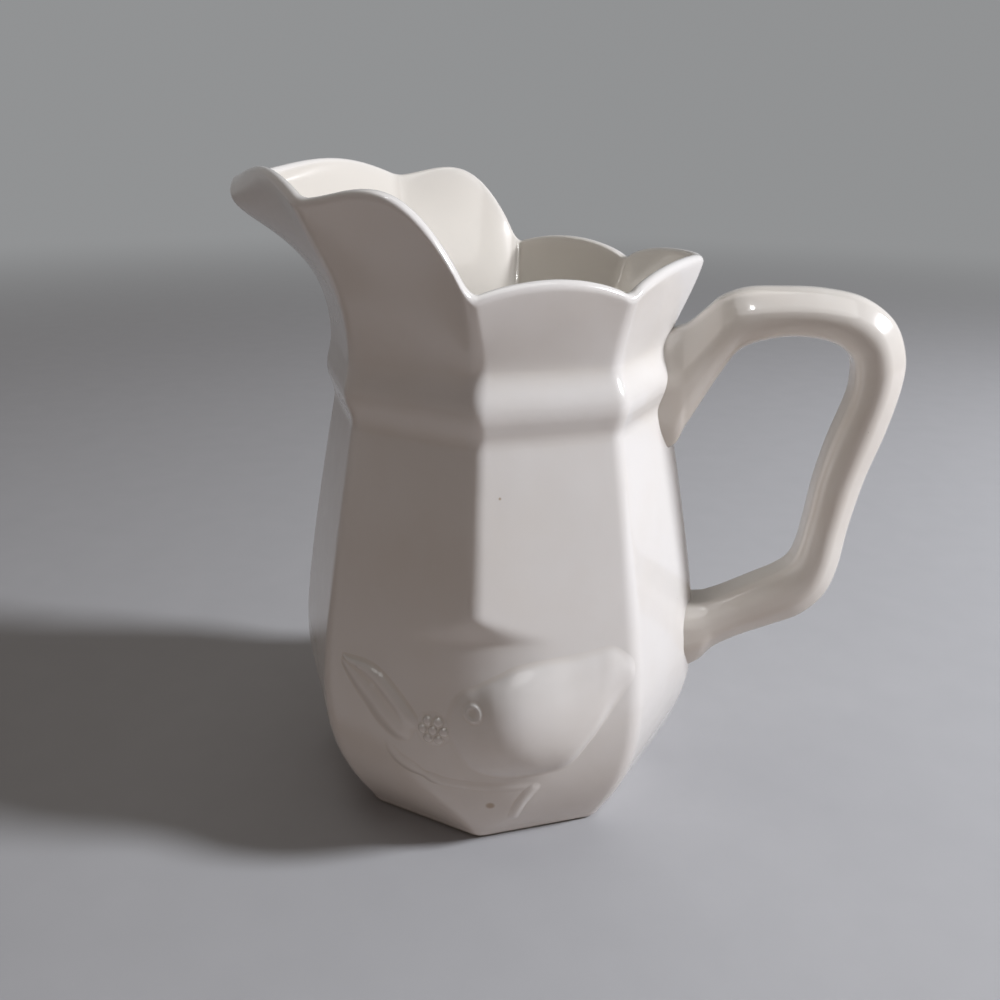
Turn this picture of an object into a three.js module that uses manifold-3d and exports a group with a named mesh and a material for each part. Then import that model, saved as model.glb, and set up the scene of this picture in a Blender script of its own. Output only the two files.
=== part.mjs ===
// Eight-sided pitcher of glazed white stoneware, with a scalloped collar, a swept spout,
// a faceted handle and a low relief of a bird at a branch of berries on both sides.
// Millimetres, +Z up, the spout towards -X and the handle towards +X.

import * as THREE from "three";
import { mergeVertices } from "three/addons/utils/BufferGeometryUtils.js";
import Module from "manifold-3d";

// Driving sizes of the body, all radii measured to the corners of the octagon.
const SIDES = 8;
const CLEARANCE = 0.35;
const WALL = 5.0;
const RIM_WALL = 3.2;
const FOOT_RADIUS = 44.0;
const FOOT_WIDTH = 6.0;
const FOOT_RECESS = 2.0;
const FOOT_EDGE = new THREE.Vector2(45.8, 0.7);
const FLOOR_TOP = 6.5;
const HEEL = new THREE.Vector2(46.6, 2.6);
const HEEL_PULLS = [new THREE.Vector2(52, 11), new THREE.Vector2(60, 22)];
const BELLY = new THREE.Vector2(60.0, 42.0);
const FLANK_PULLS = [new THREE.Vector2(60, 56), new THREE.Vector2(52.6, 92)];
const NECK = new THREE.Vector2(48.0, 114.4);

// Roll moulding: a cove, a straight underside, a round shoulder up to the crest, and over it
// a soft hollow that runs up to the foot of the collar.
const COVE = new THREE.Vector2(47.6, 116.3);
const UNDERSIDE = new THREE.Vector2(48.2, 118.2);
const ROLL_SIDE = new THREE.Vector2(49.2, 121.1);
const ROLL_TURN = new THREE.Vector2(49.6, 122.4);
const CREST = new THREE.Vector2(49.6, 123.8);
const COLLAR_FOOT = 133.2;

// Corners of the collar from the spout round to the handle, mirrored on the other side.
// rim is the outer edge of the rim and foot the radius at the foot of the collar. rise is
// the length of the flare's tangent at its foot, and pull the end of its tangent at the rim.
const CORNERS = [
  { rim: [-72.9, 0, 173.8], foot: 48.0, rise: 31.5, pull: [-8.3, 0, -12.2] },
  { rim: [-40.2, -51.2, 170.1], foot: 48.0, rise: 16.5, pull: [2.8, 11.4, -14.5] },
  { rim: [-0.7, -56.2, 149.6], foot: 46.9, rise: 3.5, pull: [0.2, 3.8, -6.3] },
  { rim: [35.5, -36.1, 148.1], foot: 46.2, rise: 2.5, pull: [-1.6, 1.6, -5.5] },
  { rim: [54.2, 0, 154.1], foot: 46.8, rise: 4.0, pull: [-2.2, 0, -8.5] },
];

// Ground of the relief: the side corners are rounded over a long reach on both faces, which
// runs out at its top and its foot. edge is the reach of an ordinary corner.
const GROUND = { corners: [2, 6], edge: 2.5, reach: 19.5, top: [65.8, 73.4], foot: [2.0, 24.0] };

// Scallops of the rim, one to a face from the spout to the handle: height of the arch over
// its corners, where along the face it peaks, and how full its shoulders are (1 is a sine).
const SCALLOPS = [
  { height: 5.0, peak: 0.58, fullness: 0.95 },
  { height: 13.6, peak: 0.63, fullness: 0.76 },
  { height: 4.4, peak: 0.53, fullness: 0.66 },
  { height: 2.8, peak: 0.38, fullness: 0.65 },
];
const SCALLOP_FLARE = 0.25;

// Places along each face where the loft has a column, and how soft its corners are.
const FACE_COLUMNS = [0.05, 0.2, 0.4, 0.6, 0.8, 0.95];
const CORNER_SOFTNESS = 0.5;

// Heights of the loft's rows over the belly, close together where the relief's ground ends,
// and of the rows inside; the floor's last rows are radius and height.
const FLANK_ROWS = [49, 57, 62, 65.8, 68.4, 71, 73.4, 82, 94, 106];
const THROAT_ROWS = [127.6, 121.0];
const INNER_ROWS = [NECK.y, 98, 82, 73.4, 69.6, 65.8, 56, 44, 30, 20];
const FLOOR_ROWS = [[46.0, 13.0], [42.0, 9.0], [36.0, FLOOR_TOP + 0.4], [28.0, FLOOR_TOP]];

// Handle stations from the upper joint round the loop to the lower joint: a point of its
// outer outline, the facing point of its inner outline, and its width across the loop.
const HANDLE_STATIONS = [
  { outer: [37.0, 134.0], inner: [37.0, 104.0], width: 20.0 },
  { outer: [47.5, 137.2], inner: [48.2, 104.5], width: 19.0 },
  { outer: [51.3, 138.6], inner: [52.2, 111.0], width: 17.6 },
  { outer: [55.3, 142.2], inner: [56.4, 118.6], width: 16.6 },
  { outer: [59.6, 146.0], inner: [60.3, 125.6], width: 16.2 },
  { outer: [65.8, 148.3], inner: [65.3, 132.6], width: 16.0 },
  { outer: [74.5, 148.8], inner: [74.5, 135.8], width: 16.0 },
  { outer: [85.5, 148.6], inner: [83.5, 136.0], width: 16.0 },
  { outer: [96.2, 146.4], inner: [90.3, 134.2], width: 16.0 },
  { outer: [104.4, 140.6], inner: [94.6, 130.2], width: 16.0 },
  { outer: [108.4, 132.0], inner: [95.6, 125.0], width: 16.0 },
  { outer: [108.7, 123.5], inner: [95.0, 119.0], width: 16.0 },
  { outer: [106.3, 110.5], inner: [91.6, 107.0], width: 16.0 },
  { outer: [102.6, 97.0], inner: [89.2, 95.5], width: 15.8 },
  { outer: [99.9, 82.5], inner: [87.8, 84.0], width: 15.6 },
  { outer: [98.4, 69.5], inner: [86.5, 75.6], width: 15.4 },
  { outer: [95.6, 60.8], inner: [84.6, 70.8], width: 15.4 },
  { outer: [89.6, 54.2], inner: [80.8, 67.6], width: 15.6 },
  { outer: [81.5, 50.2], inner: [75.7, 64.8], width: 15.8 },
  { outer: [72.2, 46.0], inner: [69.5, 61.4], width: 16.2 },
  { outer: [65.2, 41.8], inner: [64.0, 58.6], width: 17.0 },
  { outer: [60.4, 36.6], inner: [59.4, 57.2], width: 18.2 },
  { outer: [50.0, 31.0], inner: [50.0, 57.0], width: 20.0 },
];
const HANDLE_STEPS = 50;

// Bevels of the handle's section, as shares of half its thickness and of half its width.
const OUTER_BEVEL = { deep: 0.84, wide: 0.66 };
const INNER_BEVEL = { deep: 0.46, wide: 0.36 };

// Relief on the body, in millimetres along the surface: u from the side corner, positive
// towards the handle, and z over the table. Bird and leaf are lofted over ribs, each with
// marks of u, z and height from its upper edge to its lower one. Stem and twig follow a
// route with marks of u, z, half width and height.
const RELIEF_GAP = 0.35;
const RELIEF_EDGE = 0.3;
const BIRD_RIBS = [
  [[-3.0, 52.2, 0], [-4.6, 49.6, 0], [-5.4, 46.8, 0], [-5.0, 43.8, 0], [-4.0, 41.0, 0]],
  [[0.0, 55.0, 0], [0.4, 53.0, 1.6], [1.0, 50.0, 2.6], [0.5, 45.0, 2.2], [-1.0, 38.5, 0]],
  [[5.5, 56.0, 0], [5.8, 54.0, 2.2], [7.0, 50.5, 4.0], [5.5, 42.0, 2.8], [3.0, 31.5, 0]],
  [[12.5, 59.0, 0], [12.2, 55.5, 2.4], [12.5, 50.0, 5.0], [11.0, 39.0, 3.4], [9.0, 27.5, 0]],
  [[20.5, 60.8, 0], [19.8, 56.6, 2.0], [17.5, 46.0, 5.2], [16.5, 36.0, 4.0], [16.0, 26.5, 0]],
  [[28.5, 62.0, 0], [27.6, 57.4, 1.6], [25.0, 46.0, 4.0], [22.5, 35.0, 4.6], [21.5, 27.0, 0]],
  [[35.0, 65.0, 0], [34.6, 59.6, 1.4], [33.0, 48.0, 2.6], [29.0, 37.0, 3.4], [26.5, 27.5, 0]],
  [[40.0, 63.6, 0], [39.5, 58.6, 1.4], [38.0, 52.0, 1.9], [35.5, 44.0, 2.2], [33.5, 35.5, 0]],
  [[43.0, 60.8, 0], [43.4, 59.0, 0], [43.6, 57.0, 0], [43.4, 54.6, 0], [42.8, 52.6, 0]],
];
const EYE = { u: 0.6, z: 50.2, proud: 3.1, ring: 2.3, bead: 0.65 };
const LEAF_RIBS = [
  [[-38.2, 55.3, 0], [-38.4, 55.0, 0], [-38.5, 54.7, 0], [-38.5, 54.4, 0], [-38.3, 54.1, 0]],
  [[-32.4, 55.4, 0], [-33.2, 54.2, 1.3], [-34.4, 52.4, 0.6], [-35.2, 50.4, 1.2], [-36.6, 48.6, 0]],
  [[-27.0, 54.2, 0], [-27.8, 52.8, 1.7], [-29.2, 50.2, 0.6], [-30.4, 47.0, 1.6], [-32.2, 43.8, 0]],
  [[-23.4, 49.2, 0], [-24.4, 47.8, 1.3], [-25.6, 45.8, 0.7], [-26.6, 42.8, 1.6], [-28.4, 39.4, 0]],
  [[-19.0, 44.6, 0], [-20.2, 43.2, 0.8], [-21.2, 41.2, 0.6], [-22.4, 38.8, 1.1], [-24.6, 35.8, 0]],
  [[-16.6, 42.2, 0], [-16.8, 41.6, 0.2], [-17.0, 41.0, 0.2], [-17.2, 40.4, 0.2], [-17.6, 39.6, 0]],
];
const STEM_ROUTE = [
  [-26.6, 33.2, 1.5, 0.8], [-22.5, 29.4, 2.4, 1.4], [-18.4, 26.6, 1.9, 0.8], [-13.5, 24.2, 2.2, 1.2],
  [-7.0, 22.8, 1.5, 0.7], [2.0, 22.4, 1.3, 0.6], [12.0, 22.6, 1.2, 0.5],
];
const TWIG_ROUTE = [
  [24.5, 23.2, 1.2, 0.8], [20.8, 21.0, 1.5, 1.1], [17.4, 18.2, 1.5, 1.1], [14.6, 14.2, 1.4, 1.0],
  [12.8, 10.4, 1.3, 0.8], [12.0, 7.6, 1.1, 0.5],
];
const BERRY_CENTRE = [-12.2, 41.4];
const BERRY_RADIUS = 1.3;
const BERRY_SPACING = 2.2;
const BERRY_HEIGHT = 1.8;
const BERRY_BOSS = 0.5;

function glaze(colour, roughness) {
  return new THREE.MeshStandardMaterial({ color: colour, roughness, metalness: 0 });
}

const wasm = await Module();
wasm.setup();

// Closed loft through rings of equal count, with a fan to a middle point at each end.
function loft(rings, start, end) {
  const count = rings[0].length;
  const points = [...rings.flat(), start, end];
  const faces = [];
  for (let i = 0; i + 1 < rings.length; i += 1) {
    for (let j = 0; j < count; j += 1) {
      const next = (j + 1) % count;
      const a = i * count + j;
      const b = i * count + next;
      faces.push(a, b, b + count, a, b + count, a + count);
    }
  }
  const first = rings.length * count;
  const last = (rings.length - 1) * count;
  for (let j = 0; j < count; j += 1) {
    const next = (j + 1) % count;
    faces.push(first, next, j, first + 1, last + j, last + next);
  }
  return new THREE.BufferGeometry().setFromPoints(points).setIndex(faces);
}

function middle(ring) {
  return ring.reduce((sum, p) => sum.add(p), new THREE.Vector3()).divideScalar(ring.length);
}

// The same shape on the other side of the pitcher, with its faces turned out again.
function mirrored(geometry) {
  const copy = geometry.clone().scale(1, -1, 1);
  const faces = copy.getIndex().array;
  for (let i = 0; i < faces.length; i += 3) {
    [faces[i], faces[i + 1]] = [faces[i + 1], faces[i]];
  }
  return copy;
}

function solid(geometry) {
  const bare = geometry.clone();
  bare.deleteAttribute("normal");
  bare.deleteAttribute("uv");
  const merged = mergeVertices(bare, 1e-4);
  return new wasm.Manifold(new wasm.Mesh({
    numProp: 3,
    vertProperties: Float32Array.from(merged.getAttribute("position").array),
    triVerts: Uint32Array.from(merged.getIndex().array),
  }));
}

function geometryOf(manifold) {
  const mesh = manifold.getMesh();
  const geometry = new THREE.BufferGeometry();
  geometry.setAttribute("position", new THREE.BufferAttribute(mesh.vertProperties, 3));
  geometry.setIndex(new THREE.BufferAttribute(mesh.triVerts, 1));
  return geometry;
}

// Profile of the body below the collar, as corner radius against height.
const heelCurve = new THREE.CubicBezierCurve(HEEL, ...HEEL_PULLS, BELLY);
const flankCurve = new THREE.CubicBezierCurve(BELLY, ...FLANK_PULLS, NECK);

function cornerRadius(z) {
  const curve = z < BELLY.y ? heelCurve : flankCurve;
  let low = 0;
  let high = 1;
  for (let i = 0; i < 30; i += 1) {
    const mid = (low + high) / 2;
    if (curve.getPoint(mid).y < z) low = mid;
    else high = mid;
  }
  return curve.getPoint((low + high) / 2).x;
}

const cornerSizes = (k) => CORNERS[k > SIDES / 2 ? SIDES - k : k];

// Corners of a level octagon; radiusAt gives the radius of each corner.
function octagon(radiusAt, z) {
  return Array.from({ length: SIDES }, (_, k) => {
    const angle = Math.PI + (k * 2 * Math.PI) / SIDES;
    return new THREE.Vector3(radiusAt(k) * Math.cos(angle), radiusAt(k) * Math.sin(angle), z);
  });
}

// Radii that go over smoothly, from one radius at a height to the foot of each flare.
function towardsCollar(radius, low, z) {
  const share = (1 - Math.cos((Math.PI * (z - low)) / (COLLAR_FOOT - low))) / 2;
  return (k) => THREE.MathUtils.lerp(radius, cornerSizes(k).foot, share);
}

// How far from a side corner its rounding begins, at each height.
function groundReach(z) {
  const upper = THREE.MathUtils.clamp(THREE.MathUtils.mapLinear(z, ...GROUND.top, 1, 0), 0, 1);
  const lower = THREE.MathUtils.clamp(THREE.MathUtils.mapLinear(z, ...GROUND.foot, 0, 1), 0, 1);
  return GROUND.edge + GROUND.reach * Math.min(upper, lower);
}

// A point of the curve that rounds a corner, from 0 on the face before to 1 on the next.
function rounded(before, corner, after, t) {
  return before.clone().multiplyScalar((1 - t) ** 2).addScaledVector(corner, 2 * t * (1 - t))
    .addScaledVector(after, t * t);
}

// One ring of the loft from eight corners: columns along each face and a softened corner.
// lift gives the extra place of a column, by face and by the fraction along it.
function ringFrom(corners, lift = () => new THREE.Vector3()) {
  const faces = corners.map((corner, k) => {
    const next = corners[(k + 1) % SIDES];
    return FACE_COLUMNS.map((s) => corner.clone().lerp(next, s).add(lift(k, s)));
  });
  return faces.flatMap((columns, k) => {
    const before = faces[(k + SIDES - 1) % SIDES].at(-1);
    const chord = before.clone().lerp(columns[0], 0.5);
    const sharp = corners[k].clone();
    sharp.z = chord.z;
    return [sharp.lerp(chord, CORNER_SOFTNESS), ...columns];
  });
}

// A level ring of the wall below the collar, with the ground of the relief hollowed out.
function levelRing(radiusAt, z) {
  const corners = octagon(radiusAt, z);
  const ring = ringFrom(corners);
  const reach = groundReach(z);
  const span = FACE_COLUMNS.length + 1;
  for (const k of GROUND.corners) {
    const [before, corner, after] = [corners[k - 1], corners[k], corners[(k + 1) % SIDES]];
    const side = corner.distanceTo(before);
    const ends = [before, after].map((next) => corner.clone().lerp(next, reach / side));
    for (let i = 1 - span; i < span; i += 1) {
      const point = ring[k * span + i];
      const along = i === 0 ? 0 : Math.sign(i) * point.distanceTo(corner);
      const t = 0.5 + along / reach / 2;
      if (Math.abs(along) < reach) point.copy(rounded(ends[0], corner, ends[1], t));
    }
  }
  return ring;
}

// Collar: a flare at each corner, and a scallop on each face.
function cornerFlare(k) {
  const { rim, foot, rise, pull } = cornerSizes(k);
  const side = k > SIDES / 2 ? -1 : 1;
  const angle = Math.PI + (k * 2 * Math.PI) / SIDES;
  const start = new THREE.Vector3(foot * Math.cos(angle), foot * Math.sin(angle), COLLAR_FOOT);
  const end = new THREE.Vector3(rim[0], side * rim[1], rim[2]);
  const upper = end.clone().add(new THREE.Vector3(pull[0], side * pull[1], pull[2]));
  return new THREE.CubicBezierCurve3(start, start.clone().setZ(COLLAR_FOOT + rise), upper, end);
}

const flares = Array.from({ length: SIDES }, (_, k) => cornerFlare(k));

function scallop(face, s) {
  const far = face >= SIDES / 2;
  const { height, peak, fullness } = SCALLOPS[far ? SIDES - 1 - face : face];
  const along = far ? 1 - s : s;
  const skewed = along ** (Math.log(0.5) / Math.log(peak));
  return height * Math.sin(Math.PI * skewed) ** fullness;
}

function faceNormal(face) {
  const angle = Math.PI + ((face + 0.5) * 2 * Math.PI) / SIDES;
  return new THREE.Vector3(Math.cos(angle), Math.sin(angle), 0);
}

// The arch grows with the square of the way up, and leans out as it grows.
function collarLift(t) {
  return (face, s) => {
    const height = scallop(face, s) * t * t;
    return faceNormal(face).multiplyScalar(height * SCALLOP_FLARE).setZ(height);
  };
}

// A point of the inner wall: one wall inwards from the flare, square to it.
function innerFlare(k, t) {
  const tangent = flares[k].getTangent(t);
  const flat = new THREE.Vector3(tangent.x, tangent.y, 0);
  const angle = Math.PI + (k * 2 * Math.PI) / SIDES;
  const radial = new THREE.Vector3(Math.cos(angle), Math.sin(angle), 0);
  const slope = flat.dot(radial) / Math.hypot(flat.dot(radial), tangent.z);
  const wall = THREE.MathUtils.lerp(WALL, RIM_WALL, t) / Math.cos(Math.PI / SIDES);
  const across = radial.multiplyScalar(-Math.sqrt(1 - slope * slope)).setZ(slope);
  return flares[k].getPoint(t).addScaledVector(across, wall);
}

function collarRing(t, inside, grow = 0) {
  const corners = flares.map((flare, k) => (inside ? innerFlare(k, t) : flare.getPoint(t)));
  corners.forEach((corner) => {
    const reach = Math.hypot(corner.x, corner.y);
    corner.x *= (reach + grow) / reach;
    corner.y *= (reach + grow) / reach;
  });
  return ringFrom(corners, collarLift(t));
}

// Half-round rim between the outer and the inner edge of the wall.
function rimRings() {
  const outer = collarRing(1, false);
  const inner = collarRing(1, true);
  const below = collarRing(0.97, false);
  const up = outer.map((p, i) => p.clone().sub(below[i]).normalize());
  return [30, 65, 115, 150].map((degrees) => {
    const turn = THREE.MathUtils.degToRad(degrees);
    return outer.map((edge, i) => {
      const centre = edge.clone().lerp(inner[i], 0.5);
      const half = edge.clone().sub(centre);
      const height = half.length() * Math.sin(turn);
      return centre.addScaledVector(half, Math.cos(turn)).addScaledVector(up[i], height);
    });
  });
}

function turnSteps(from, to, steps) {
  return Array.from({ length: steps + 1 }, (_, i) => from + ((to - from) * i) / steps);
}

// Outer surface from the foot to the foot of the collar, grown outwards where asked.
function outerRings(grow = 0) {
  const heel = turnSteps(0, 1, 6).map((t) => heelCurve.getPoint(t));
  const flank = FLANK_ROWS.map((z) => new THREE.Vector2(cornerRadius(z), z));
  const cove = new THREE.QuadraticBezierCurve(NECK, COVE, UNDERSIDE).getPoints(3);
  const roll = new THREE.QuadraticBezierCurve(ROLL_SIDE, ROLL_TURN, CREST).getPoints(2);
  const profile = [...heel, ...flank, ...cove, ...roll];
  const below = profile.map((p) => levelRing(() => p.x + grow, p.y));
  const above = turnSteps(CREST.y, COLLAR_FOOT, 5).slice(1, -1).map((z) => {
    const radiusAt = towardsCollar(CREST.x, CREST.y, z);
    return levelRing((k) => radiusAt(k) + grow, z);
  });
  return [...below, ...above];
}

function footRings() {
  const inner = FOOT_RADIUS - FOOT_WIDTH;
  const profile = [
    [inner - FOOT_RECESS, FOOT_RECESS],
    [inner, 0],
    [FOOT_RADIUS, 0],
    FOOT_EDGE.toArray(),
  ];
  return profile.map(([radius, z]) => levelRing(() => radius, z));
}

// Inner surface from the collar down to the floor, one wall inside the outer profile.
function innerRings() {
  const wall = WALL / Math.cos(Math.PI / SIDES);
  const throat = THROAT_ROWS.map((z) => {
    const radiusAt = towardsCollar(NECK.x, NECK.y, z);
    return levelRing((k) => radiusAt(k) - wall, z);
  });
  const flank = INNER_ROWS.map((z) => levelRing(() => cornerRadius(z) - wall, z));
  const floor = FLOOR_ROWS.map(([radius, z]) => levelRing(() => radius, z));
  return [...throat, ...flank, ...floor];
}

function bodyGeometry() {
  const up = [0, 0.18, 0.36, 0.54, 0.7, 0.85, 1].map((t) => collarRing(t, false));
  const down = [1, 0.85, 0.7, 0.54, 0.36, 0].map((t) => collarRing(t, true));
  const outside = [...footRings(), ...outerRings(), ...up];
  const rings = [...outside, ...rimRings(), ...down, ...innerRings()];
  return loft(rings, new THREE.Vector3(0, 0, FOOT_RECESS), new THREE.Vector3(0, 0, FLOOR_TOP));
}

// The body without its hollow, a clearance larger all round, which cuts the handle's ends.
function bodyEnvelope() {
  const collar = turnSteps(0, 1, 4).map((t) => collarRing(t, false, CLEARANCE));
  const rings = [...outerRings(CLEARANCE), ...collar];
  return loft(rings, new THREE.Vector3(0, 0, HEEL.y), middle(rings.at(-1)));
}

// A smooth curve through marks of two or three numbers.
function smoothCurve(marks, kind = "catmullrom") {
  const points = marks.map(([x, y, z = 0]) => new THREE.Vector3(x, y, z));
  return new THREE.CatmullRomCurve3(points, false, kind);
}

// Corners of the handle's section, outwards and across, each from -1 to 1.
function handleSection() {
  const outside = [[1 - OUTER_BEVEL.deep, 1], [1, 1 - OUTER_BEVEL.wide]];
  const inside = [[-1, 1 - INNER_BEVEL.wide], [INNER_BEVEL.deep - 1, 1]];
  const other = (corners) => corners.toReversed().map(([out, across]) => [out, -across]);
  return [...outside, ...other(outside), ...other(inside), ...inside];
}

// Handle: the bevelled bar swept round its loop, swelling into its two joints.
function handleGeometry() {
  const outer = smoothCurve(HANDLE_STATIONS.map((station) => station.outer), "centripetal");
  const inner = smoothCurve(HANDLE_STATIONS.map((station) => station.inner), "centripetal");
  const widths = smoothCurve(HANDLE_STATIONS.map(({ width }) => [width, 0]), "centripetal");
  const rings = turnSteps(0, 1, HANDLE_STEPS).map((t) => {
    const far = outer.getPoint(t);
    const centre = far.clone().lerp(inner.getPoint(t), 0.5);
    const out = far.sub(centre);
    const half = widths.getPoint(t).x / 2;
    return handleSection().map(([deep, wide]) => {
      const { x, y: z } = centre.clone().addScaledVector(out, deep);
      return new THREE.Vector3(x, wide * half, z);
    });
  });
  const bar = loft(rings, middle(rings[0]), middle(rings.at(-1)));
  return geometryOf(solid(bar).subtract(solid(bodyEnvelope())));
}

// A point of the rounded wall round the near side corner.
function wallPoint(u, z) {
  const corner = new THREE.Vector3(0, -cornerRadius(z), z);
  const onFace = (along) => {
    const turn = (Math.PI / SIDES) * Math.sign(along);
    return corner.clone().addScaledVector(new THREE.Vector3(Math.cos(turn), Math.sin(turn), 0), along);
  };
  const reach = groundReach(z);
  if (Math.abs(u) >= reach) return onFace(u);
  return rounded(onFace(-reach), corner, onFace(reach), 0.5 + u / reach / 2);
}

// The same point, height millimetres proud of the wall.
function onBody(u, z, height) {
  const step = 0.4;
  const along = wallPoint(u + step, z).sub(wallPoint(u - step, z));
  const up = wallPoint(u, z + step).sub(wallPoint(u, z - step));
  return wallPoint(u, z).addScaledVector(along.cross(up).normalize(), height);
}

// A closed relief from rows of marks; each mark is u, z and the height over the relief's edge.
function reliefGeometry(rows) {
  const rings = rows.map((row) => {
    const edge = RELIEF_GAP + RELIEF_EDGE;
    const front = row.map(([u, z, height]) => onBody(u, z, edge + Math.max(0, height)));
    const back = row.toReversed().map(([u, z]) => onBody(u, z, RELIEF_GAP));
    return [...front, ...back];
  });
  return loft(rings, middle(rings[0]), middle(rings.at(-1)));
}

// Rows over ribs: a smooth curve from rib to rib through like marks, then one along each row.
function ribRows(ribs, stations, across) {
  const through = ribs[0].map((_, i) => smoothCurve(ribs.map((rib) => rib[i])));
  return turnSteps(0, 1, stations).map((t) => {
    const row = smoothCurve(through.map((curve) => curve.getPoint(t).toArray()));
    return turnSteps(0, 1, across).map((w) => row.getPoint(w).toArray());
  });
}

// Rows across a branch, square to its route, rounded over and run out at both ends.
function routeRows(route, stations, across) {
  const places = smoothCurve(route.map(([u, z]) => [u, z, 0]));
  const sizes = smoothCurve(route.map(([, , half, height]) => [half, height, 0]));
  return turnSteps(0, 1, stations).map((t) => {
    const place = places.getPoint(t);
    const tangent = places.getTangent(t);
    const { x: half, y: height } = sizes.getPoint(t);
    const end = THREE.MathUtils.smoothstep(Math.min(t, 1 - t), 0, 0.08);
    return turnSteps(1, -1, across).map((side) => {
      const shape = height * end * (1 - side * side) ** 2;
      return [place.x - tangent.y * half * side, place.y + tangent.x * half * side, shape];
    });
  });
}

const dome = (away, height) => (away < 1 ? height * Math.sqrt(1 - away * away) : 0);

// The eye is a bead bent into a ring, lying in the surface of the head.
function eyeGeometry() {
  const centre = onBody(EYE.u, EYE.z, EYE.proud);
  const away = onBody(EYE.u, EYE.z, EYE.proud + 1).sub(centre);
  const turn = new THREE.Quaternion().setFromUnitVectors(new THREE.Vector3(0, 0, 1), away);
  const ring = new THREE.TorusGeometry(EYE.ring, EYE.bead, 6, 14).applyQuaternion(turn);
  return ring.translate(centre.x, centre.y, centre.z);
}

function birdGeometry() {
  const feathers = reliefGeometry(ribRows(BIRD_RIBS, 24, 10));
  return geometryOf(solid(feathers).add(solid(eyeGeometry())));
}

// Berries: one in the middle and six round it, fused in one boss.
function berriesGeometry() {
  const [cu, cz] = BERRY_CENTRE;
  const reach = BERRY_SPACING + BERRY_RADIUS * 0.8;
  const turns = turnSteps(0, (5 * Math.PI) / 3, 5);
  const round = turns.map((turn) => [BERRY_SPACING * Math.cos(turn), BERRY_SPACING * Math.sin(turn)]);
  const centres = [[0, 0], ...round];
  const rows = turnSteps(0.08, 0.92, 14).map((t) => {
    const angle = Math.PI * (1 - t);
    return turnSteps(1, -1, 10).map((side) => {
      const [du, dz] = [reach * Math.cos(angle), reach * Math.sin(angle) * side];
      const away = centres.map(([bu, bz]) => Math.hypot(du - bu, dz - bz) / BERRY_RADIUS);
      const lumps = away.map((share) => dome(share, BERRY_HEIGHT));
      return [cu + du, cz + dz, Math.max(BERRY_BOSS, ...lumps) * (1 - side ** 6)];
    });
  });
  return reliefGeometry(rows);
}

const glazeWhite = 0xe9e4da;
const pitcher = new THREE.Group();

function place(name, geometry, roughness) {
  geometry.computeVertexNormals();
  const mesh = new THREE.Mesh(geometry, glaze(glazeWhite, roughness));
  mesh.name = name;
  pitcher.add(mesh);
}

place("body", bodyGeometry(), 0.14);
place("handle", handleGeometry(), 0.14);
const reliefs = {
  bird: birdGeometry(),
  leaf: reliefGeometry(ribRows(LEAF_RIBS, 12, 6)),
  stem: reliefGeometry(routeRows(STEM_ROUTE, 18, 4)),
  twig: reliefGeometry(routeRows(TWIG_ROUTE, 10, 4)),
  berries: berriesGeometry(),
};
for (const [name, geometry] of Object.entries(reliefs)) {
  place(`${name}_left`, geometry, 0.16);
  place(`${name}_right`, mirrored(geometry), 0.16);
}

// The origin is on the table under the middle of the pitcher's whole outline.
const outline = new THREE.Box3().setFromObject(pitcher);
pitcher.position.x = -(outline.min.x + outline.max.x) / 2;

export default pitcher;
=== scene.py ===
"""Eight-sided pitcher of glazed white stoneware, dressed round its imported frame.

All sizes are metres, apart from the ribs and routes of the relief, which are millimetres.
+Z is up, the spout points to -X, the handle to +X, and the side with the relief that the
camera sees is the -Y side.
"""

import logging
import math
from dataclasses import dataclass, field
from enum import Enum
from typing import Any, ClassVar, Sequence

import bmesh
import bpy
import numpy as np
from mathutils import Matrix, Vector
from mathutils.bvhtree import BVHTree


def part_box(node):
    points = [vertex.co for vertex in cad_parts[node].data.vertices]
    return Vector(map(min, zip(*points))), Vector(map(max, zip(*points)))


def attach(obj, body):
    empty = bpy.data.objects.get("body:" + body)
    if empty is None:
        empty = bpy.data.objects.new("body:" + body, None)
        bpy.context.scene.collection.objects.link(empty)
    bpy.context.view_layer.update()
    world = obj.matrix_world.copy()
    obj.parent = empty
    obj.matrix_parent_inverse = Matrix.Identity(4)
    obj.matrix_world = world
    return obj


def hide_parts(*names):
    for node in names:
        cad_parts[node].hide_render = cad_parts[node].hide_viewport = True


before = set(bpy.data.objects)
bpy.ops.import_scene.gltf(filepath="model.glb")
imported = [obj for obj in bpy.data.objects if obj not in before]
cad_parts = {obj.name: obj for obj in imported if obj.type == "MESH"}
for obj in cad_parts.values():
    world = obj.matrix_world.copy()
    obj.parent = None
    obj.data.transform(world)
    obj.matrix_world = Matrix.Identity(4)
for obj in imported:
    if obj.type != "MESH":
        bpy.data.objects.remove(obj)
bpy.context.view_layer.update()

log = logging.getLogger("pitcher")

Array = np.ndarray
Relief = tuple[Array, Array, Array]
Colour = tuple[float, float, float, float]
Pair = tuple[float, float]
Triple = tuple[float, float, float]

MM = 0.001
# Tolerances, from the widest to the finest.
TINY, LEAST, NOUGHT = 1e-6, 1e-7, 1e-9
SIDES = 8
TURN = 2 * math.pi / SIDES
HALF_TURN = TURN / 2
ROOT = "root"
# How sharply the surface bends, per metre, where the glaze pools fully or runs thinnest.
POOL_BEND, THIN_BEND = 160, 500


class Slot(Enum):
    """The record's material slots."""

    BODY = "body_glaze"
    HANDLE = "handle_glaze"
    RELIEF = "relief_glaze"


class Role(Enum):
    """What a lamp does: it lights the scene, or only shows as a reflection in the glaze."""

    LIGHT = "light"
    SHEEN = "sheen"


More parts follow.
